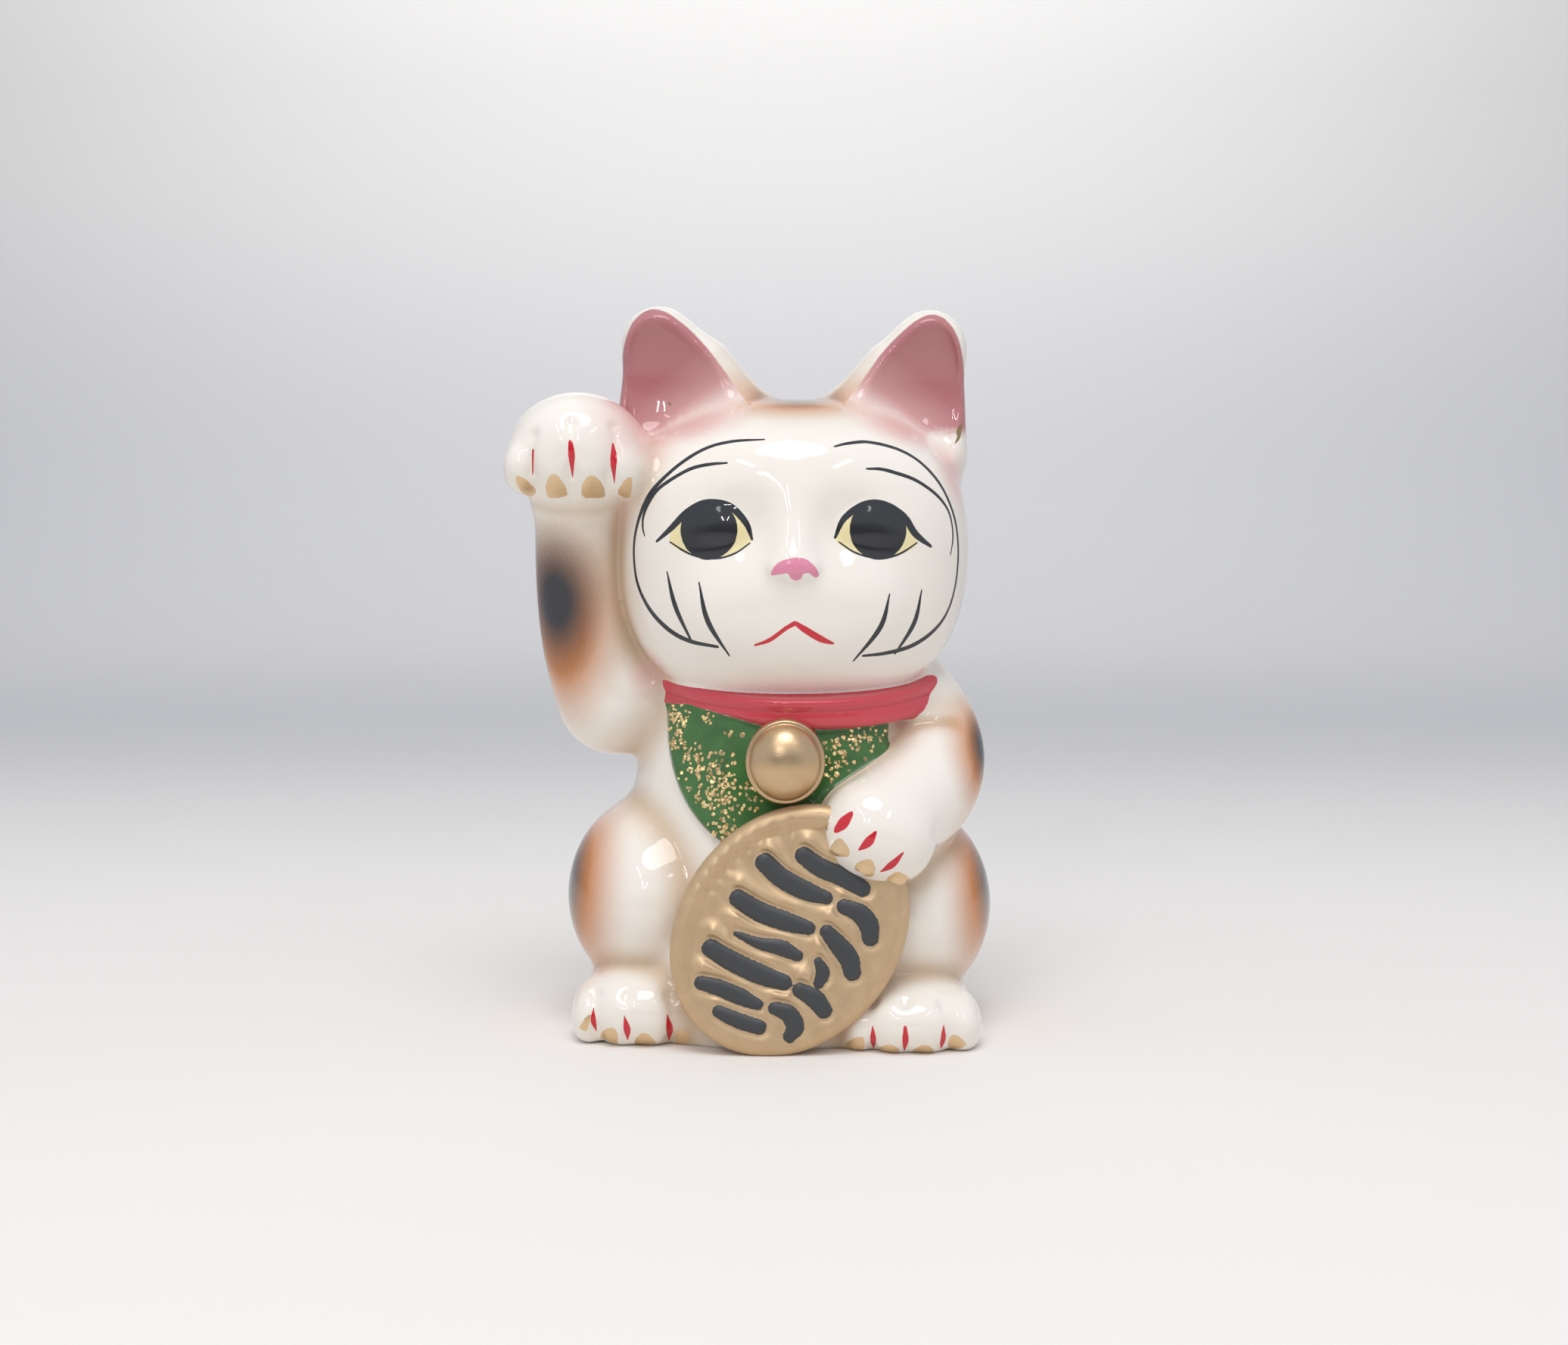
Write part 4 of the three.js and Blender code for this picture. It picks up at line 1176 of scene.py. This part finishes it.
metal = add_node(tree, "Math", {"operation": "MULTIPLY"}, {0: gilt, 1: CLAW_METAL})
tree.links.new(metal.outputs[0], shader.inputs["Metallic"])
dull = add_node(tree, "MapRange", {}, {"Value": gilt, "To Min": GLAZE_ROUGH, "To Max": CLAW_ROUGH})
tree.links.new(dull.outputs["Result"], shader.inputs["Roughness"])
waves = add_node(tree, "TexNoise", {}, {"Vector": place, "Scale": 70.0, "Detail": 2.5}).outputs["Fac"]
bump = add_node(tree, "Bump", {}, {"Height": waves, "Strength": 0.4, "Distance": 0.0005})
tree.links.new(bump.outputs["Normal"], shader.inputs["Normal"])

cast_mesh.name = "cat_body"
cast_mesh.shade_smooth()
cat_body = new_object("cat_body", cast_mesh)
cast_mesh.materials.clear()
cast_mesh.materials.append(glaze)
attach(cat_body, "root")
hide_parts("cat_bank")

# The gold coin is part of the casting, an oval plate that the paw holds against the belly. Its face
# was modelled by hand: a raised rim with the hammer's notches along its inside on the left, and rows
# of raised brush strokes with soft folds beside them. It is gilded all over, and the strokes are black.
COIN = {"at": (11, -43.5, 29.2), "pitch": -7.5, "lean": 38, "half": (26.3, 32), "edge": 3.0}
COIN_FRONT, COIN_BACK = -3.0, 13.0
COIN_CELLS = (150, 182)
COIN_RIM = {"wide": 2.9, "slope": 2.6, "deep": 1.15}
COIN_STROKES = [
    # brush strokes that only fill the rows, from the coin's middle: across and along it
    {"at": [(-8.4, 16), (-3.6, 16.2), (1.6, 17.6), (7.4, 18.4)], "half": [2.1, 2.3, 2.3, 2.0]},
    {"at": [(-14.6, 9), (-9, 8.6), (-2.7, 9.8), (2, 11.4)], "half": [2.3, 2.4, 2.3, 1.6]},
    {"at": [(6.6, 12.4), (10.4, 13.4), (13.8, 12.6), (16, 10.4)], "half": [1.8, 2.3, 2.4, 2.0]},
    {"at": [(-14.3, -1.6), (-7.9, -0.8), (-1.7, 1.3), (3, 3.2)], "half": [2.2, 2.4, 2.3, 1.7]},
    {"at": [(7, 5.2), (11.3, 4.4), (15, 3.4), (17.6, 1.4)], "half": [1.7, 2.3, 2.4, 2.1]},
    {"at": [(-9.6, -8.4), (-4, -6.8), (1, -4.4), (5, -3.6)], "half": [0.7, 1.4, 1.9, 1.4]},
    {"at": [(9.8, -1.6), (12.2, -3), (13, -5.6)], "half": [1.1, 1.7, 1.3]},
    {"at": [(-12.2, -14.8), (-6, -14), (1, -12.4), (6.4, -10.4)], "half": [2.2, 2.4, 2.4, 1.9]},
    {"at": [(10.4, -9.6), (14.4, -9), (17.8, -9.8)], "half": [1.8, 2.3, 2.0]},
    {"at": [(-9, -22.6), (-4.6, -20.8), (0.6, -19.4), (4.6, -18.4)], "half": [1.7, 2.0, 2.0, 1.4]},
    {"at": [(8.4, -16.6), (11.8, -15.6), (14.8, -17), (15.2, -19.6)], "half": [1.6, 2.1, 2.2, 1.6]},
    {"at": [(-1.6, -25.4), (3.2, -24.2), (8.2, -22.4)], "half": [1.5, 1.9, 1.8]},
]
STROKE_RISE = 0.5
FOLD = {"shift": (-1.9, 3.3), "wide": 2.0, "rise": 1.05}
KNOBS = {
    "at": [(-15, 12.5), (-17.4, 1.4), (-13.9, -6.2), (-14.8, -10.8), (-9.6, 20)],
    "half": 1.6,
    "rise": 0.35,
}
MOAT = {"wide": 1.0, "deep": 0.3}
NOTCHES = {"from": -4, "to": 20, "count": 8, "share": 0.84, "half": (2.4, 0.9), "deep": 0.4}

coin_bm = bmesh.new()
bmesh.ops.create_grid(coin_bm, x_segments=COIN_CELLS[0], y_segments=COIN_CELLS[1], size=1)
rim_edges = [edge for edge in coin_bm.edges if edge.is_boundary]
ring = bmesh.ops.extrude_edge_only(coin_bm, edges=rim_edges)
sunk = [part for part in ring["geom"] if isinstance(part, bmesh.types.BMVert)]
bmesh.ops.translate(coin_bm, verts=sunk, vec=(0, 0, -1))
bmesh.ops.holes_fill(coin_bm, edges=coin_bm.edges, sides=0)
bmesh.ops.recalc_face_normals(coin_bm, faces=coin_bm.faces)
coin_mesh = bpy.data.meshes.new("gold_coin")
coin_bm.to_mesh(coin_mesh)
coin_bm.free()

square = mesh_points(coin_mesh)
across = square[:, 0] * np.sqrt(1 - square[:, 1] ** 2 / 2) * COIN["half"][0]
along = square[:, 1] * np.sqrt(1 - square[:, 0] ** 2 / 2) * COIN["half"][1]
flat = np.column_stack([across, along])
share = np.hypot(across / COIN["half"][0], along / COIN["half"][1])
inside = (1 - share) * COIN["half"][0]
bend = np.clip(COIN["edge"] - inside, 0, COIN["edge"])
relief = np.sqrt(COIN["edge"] ** 2 - bend**2) - COIN["edge"]
left_side = 0.5 - 0.55 * across / COIN["half"][0] + 0.35 * along / COIN["half"][1]
rim_foot = smooth_step(inside, COIN_RIM["wide"], COIN_RIM["wide"] + COIN_RIM["slope"])
relief -= COIN_RIM["deep"] * np.clip(left_side, 0.12, 1) * rim_foot
relief += 0.1 * np.sin(across / 4.1 + 0.6) * np.sin(along / 5.3 + 1.1) * rim_foot

coin_ink, folds = np.full(len(flat), UNPAINTED), np.zeros(len(flat))
for stroke in COIN_STROKES:
    curve = smooth_curve(np.column_stack([stroke["at"], stroke["half"]]))
    best, t, away = along_line(flat, curve[:, :2])
    wide = curve[best, 2] + (curve[best + 1, 2] - curve[best, 2]) * np.clip(t, 0, 1)
    coin_ink = np.minimum(coin_ink, away - wide)
    fold = curve[: len(curve) * 3 // 4, :2] + FOLD["shift"]
    best, t, away = along_line(flat, fold)
    fading = 1 - 0.6 * (best + np.clip(t, 0, 1)) / len(fold)
    folds = np.maximum(folds, fading * np.exp(-((away / FOLD["wide"]) ** 2)))
for knob in KNOBS["at"]:
    folds += KNOBS["rise"] * np.exp(-((np.linalg.norm(flat - knob, axis=1) / KNOBS["half"]) ** 2))
clear = smooth_step(coin_ink, 0.0, 1.4) * smooth_step(inside, 3, 6)
relief += FOLD["rise"] * folds * clear - MOAT["deep"] * np.exp(-((coin_ink / MOAT["wide"]) ** 2))
relief += STROKE_RISE * smooth_step(-coin_ink, -0.5, 0.9)
for height in np.linspace(NOTCHES["from"], NOTCHES["to"], NOTCHES["count"]):
    half_across, half_along = np.array(COIN["half"]) * NOTCHES["share"]
    turn = math.asin(height / half_along)
    middle = np.array((-half_across * math.cos(turn), height))
    outwards = np.array((-math.cos(turn), math.sin(turn)))
    gap = flat - middle
    out = gap @ outwards
    aside = gap[:, 0] * outwards[1] - gap[:, 1] * outwards[0]
    pit = np.exp(-((out / NOTCHES["half"][0]) ** 2) - (aside / NOTCHES["half"][1]) ** 2)
    relief -= NOTCHES["deep"] * pit

depth = np.where(square[:, 2] < -0.5, COIN_BACK, COIN_FRONT - relief)
coin_axes = own_axes(pitch=COIN["pitch"], lean=COIN["lean"])
coin_points = np.column_stack([across, depth, along]) @ coin_axes.T + np.array(COIN["at"])
set_clay_points(coin_mesh, np.clip(coin_points, box_low + 0.1, box_high))
give(coin_mesh, "coin_ink", coin_ink)
give(coin_mesh, "burnished", np.zeros(len(flat)))
coin_mesh.shade_smooth()
gold_coin = new_object("gold_coin", coin_mesh)

# gold paint, brushed on: pale satin metal, a little patchy, with the fine furrows of the brush. The
# bell's is burnished, so it mirrors more.
GOLD_METAL = {"To Min": 0.55, "To Max": 0.92}  # from the coin to the bell
GOLD_ROUGH = {"To Min": 0.4, "To Max": 0.52}
BURNISHED_SMOOTHER = 0.13
INK_EDGE = {"From Min": 0.32, "From Max": 0.2}
FURROWS = {"Rotation": (0, 0.6, 0), "Scale": (900, 900, 4000)}

gold, tree, shader = new_material("brushed-on gold paint")
place = add_node(tree, "TexCoord", {}, {}).outputs["Object"]
patchy = add_node(tree, "TexNoise", {}, {"Vector": place, "Scale": 260.0, "Detail": 3.0}).outputs["Fac"]
tones = {0: patchy, 6: colour("#c2a37d"), 7: colour("#d8bb95")}
tone = add_node(tree, "Mix", COLOURS, tones).outputs[2]
read = add_node(tree, "Attribute", {"attribute_name": "coin_ink"}, {}).outputs["Fac"]
rough_edge = add_node(tree, "TexNoise", {}, {"Vector": place, "Scale": 1400.0, "Detail": 2.0}).outputs["Fac"]
ragged = add_node(tree, "Math", {"operation": "MULTIPLY_ADD"}, {0: rough_edge, 1: 0.5, 2: read}).outputs[0]
inked = add_node(tree, "MapRange", SMOOTH, {"Value": ragged, **INK_EDGE}).outputs["Result"]
surface = add_node(tree, "Mix", COLOURS, {0: inked, 6: tone, 7: colour("#3f4042")})
tree.links.new(surface.outputs[2], shader.inputs["Base Color"])
shine = add_node(tree, "Attribute", {"attribute_name": "burnished"}, {}).outputs["Fac"]
leaf = add_node(tree, "MapRange", {}, {"Value": shine, **GOLD_METAL}).outputs["Result"]
metal = add_node(tree, "MapRange", {}, {"Value": inked, "To Min": leaf, "To Max": 0.0})
tree.links.new(metal.outputs["Result"], shader.inputs["Metallic"])
satin = add_node(tree, "MapRange", {}, {"Value": patchy, **GOLD_ROUGH}).outputs["Result"]
less = add_node(tree, "Math", {"operation": "MULTIPLY"}, {0: shine, 1: BURNISHED_SMOOTHER}).outputs[0]
rough = add_node(tree, "Math", {"operation": "SUBTRACT"}, {0: satin, 1: less})
tree.links.new(rough.outputs[0], shader.inputs["Roughness"])
drawn_out = add_node(tree, "Mapping", {}, {"Vector": place, **FURROWS}).outputs["Vector"]
furrows = add_node(tree, "TexNoise", {}, {"Vector": drawn_out, "Scale": 1.0, "Detail": 2.0}).outputs["Fac"]
bump = add_node(tree, "Bump", {}, {"Height": furrows, "Strength": 0.3, "Distance": 0.0001})
tree.links.new(bump.outputs["Normal"], shader.inputs["Normal"])
coin_mesh.materials.append(gold)
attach(gold_coin, "root")
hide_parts("cat_bank")

# The bell hangs on the collar's front: a flat disc with a dome on it, cast in one with the bib under
# it and gilded. A shallow groove lies between the dome and the disc's rim.
BELL = {"at": (9.9, -37, 68.9), "scale": (0.93, 1, 1), "front": 9.7, "dome": 9.1, "disc_deep": 3.2}
BELL_RIM = [(9.3, -3.0), (9.6, -3.15), (9.95, -2.9), (10.2, -2.3), (10.2, -1.4), (10.0, 6)]
DOME_STEPS, BELL_STEPS = 16, 96

bell_bm = bmesh.new()
outline = [(0, -BELL["front"])]
rise = BELL["front"] - BELL["disc_deep"]
for i in range(1, DOME_STEPS + 1):
    angle = math.pi / 2 * i / DOME_STEPS
    outline.append((BELL["dome"] * math.sin(angle), -BELL["disc_deep"] - rise * math.cos(angle)))
outline += BELL_RIM
line = [bell_bm.verts.new((x, y, 0)) for x, y in outline]
edges = [bell_bm.edges.new(pair) for pair in zip(line, line[1:])]
bmesh.ops.spin(
    bell_bm,
    geom=line + edges,
    cent=(0, 0, 0),
    axis=(0, 1, 0),
    angle=2 * math.pi,
    steps=BELL_STEPS,
    use_merge=True,
)
bmesh.ops.remove_doubles(bell_bm, verts=bell_bm.verts, dist=0.001)
bmesh.ops.recalc_face_normals(bell_bm, faces=bell_bm.faces)
bell_mesh = bpy.data.meshes.new("gold_bell")
bell_bm.to_mesh(bell_mesh)
bell_bm.free()
set_clay_points(bell_mesh, mesh_points(bell_mesh) * BELL["scale"] + np.array(BELL["at"]))
give(bell_mesh, "coin_ink", np.full(len(bell_mesh.vertices), UNPAINTED))
give(bell_mesh, "burnished", np.ones(len(bell_mesh.vertices)))
bell_mesh.shade_smooth()
gold_bell = new_object("gold_bell", bell_mesh)
bell_mesh.materials.append(gold)
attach(gold_bell, "root")
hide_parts("cat_bank")

# Gold flakes were strewn on the bib's wet green paint and stuck in clusters. Each is a thin crumb of
# foil about 1 mm across, and they lie at all angles, so a few always glint.
FLAKE_CLUSTERS = [
    # the middle of each cluster, its spread and its number of flakes
    {"at": (-16.6, 78), "spread": (1.3, 2.6), "count": 60},
    {"at": (-15, 70.8), "spread": (2.0, 1.2), "count": 24},
    {"at": (-9.6, 66.2), "spread": (3.6, 2.4), "count": 70},
    {"at": (-5.6, 62.6), "spread": (3.4, 2.2), "count": 50},
    {"at": (-9, 58), "spread": (2.6, 2.0), "count": 36},
    {"at": (-3.2, 57), "spread": (2.2, 1.8), "count": 26},
    {"at": (-4.6, 51.3), "spread": (1.5, 1.9), "count": 36},
    {"at": (2.2, 60), "spread": (1.5, 2.4), "count": 26},
    {"at": (22.3, 69.6), "spread": (1.8, 3.4), "count": 56},
    {"at": (30, 73.2), "spread": (2.8, 1.8), "count": 44},
    {"at": (-8.4, 78.4), "spread": (1.3, 0.8), "count": 9},
    {"at": (-3.3, 75), "spread": (0.8, 0.6), "count": 6},
    {"at": (6, 64), "spread": (16, 10), "count": 40},
]
FLAKE_HALF = (0.36, 0.72)
FLAKE_THICK = 0.06
FLAKE_LIFT = 0.08
FLAKE_TAPER = 0.85
FLAKE_TILT = math.radians(24)

chance = np.random.default_rng(8)
spots = [
    chance.normal(cluster["at"], cluster["spread"], (cluster["count"], 2)) for cluster in FLAKE_CLUSTERS
]
flake_points = front_of(skin, np.concatenate(spots))
flake_points = flake_points[bib(flake_points) < 0.15]
ahead = slide_onto(lambda q: skin(q) - 0.5, flake_points + (0, -0.5, 0), 3)
flake_bm = bmesh.new()
for point, out in zip(flake_points, ahead - flake_points):
    out = Vector(out).normalized()
    tilt = Vector(chance.normal(0, math.sin(FLAKE_TILT) / 2, 3))
    turned = (out + tilt).to_track_quat("Z", "Y").to_matrix().to_4x4()
    size = chance.uniform(*FLAKE_HALF)
    stretch = Matrix.Diagonal((size, size * chance.uniform(0.55, 1), 1, 1))
    spin = Matrix.Rotation(chance.uniform(0, 2 * math.pi), 4, "Z")
    bmesh.ops.create_cone(
        flake_bm,
        cap_ends=True,
        segments=int(chance.integers(4, 7)),
        radius1=1,
        radius2=FLAKE_TAPER,
        depth=FLAKE_THICK,
        matrix=Matrix.Translation(Vector(point) + FLAKE_LIFT * out) @ turned @ spin @ stretch,
    )
flake_mesh = bpy.data.meshes.new("gold_flakes")
flake_bm.to_mesh(flake_mesh)
flake_bm.free()
set_clay_points(flake_mesh, mesh_points(flake_mesh))
gold_flakes = new_object("gold_flakes", flake_mesh)

# gold foil: brighter and sharper than the paint, so that each crumb is either pale or dark
foil, tree, shader = new_material("gold foil flakes")
shader.inputs["Base Color"].default_value = colour("#f0cf98")
shader.inputs["Metallic"].default_value = 1.0
shader.inputs["Roughness"].default_value = 0.28
flake_mesh.materials.append(foil)
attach(gold_flakes, "root")
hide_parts("cat_bank")

# The stopper closes the pour hole from below, a soft plug pressed in by its flange until its barb
# snaps over the hole's lip. It is moulded in one piece of matt black rubber.
rubber, tree, shader = new_material("black moulded rubber")
shader.inputs["Base Color"].default_value = colour("#302e2c")
shader.inputs["Roughness"].default_value = 0.6
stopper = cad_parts["base_stopper"]
for i in range(len(stopper.data.materials)):
    stopper.data.materials[i] = rubber

[[list(corner) for corner in box] for box in (cad_box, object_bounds())]
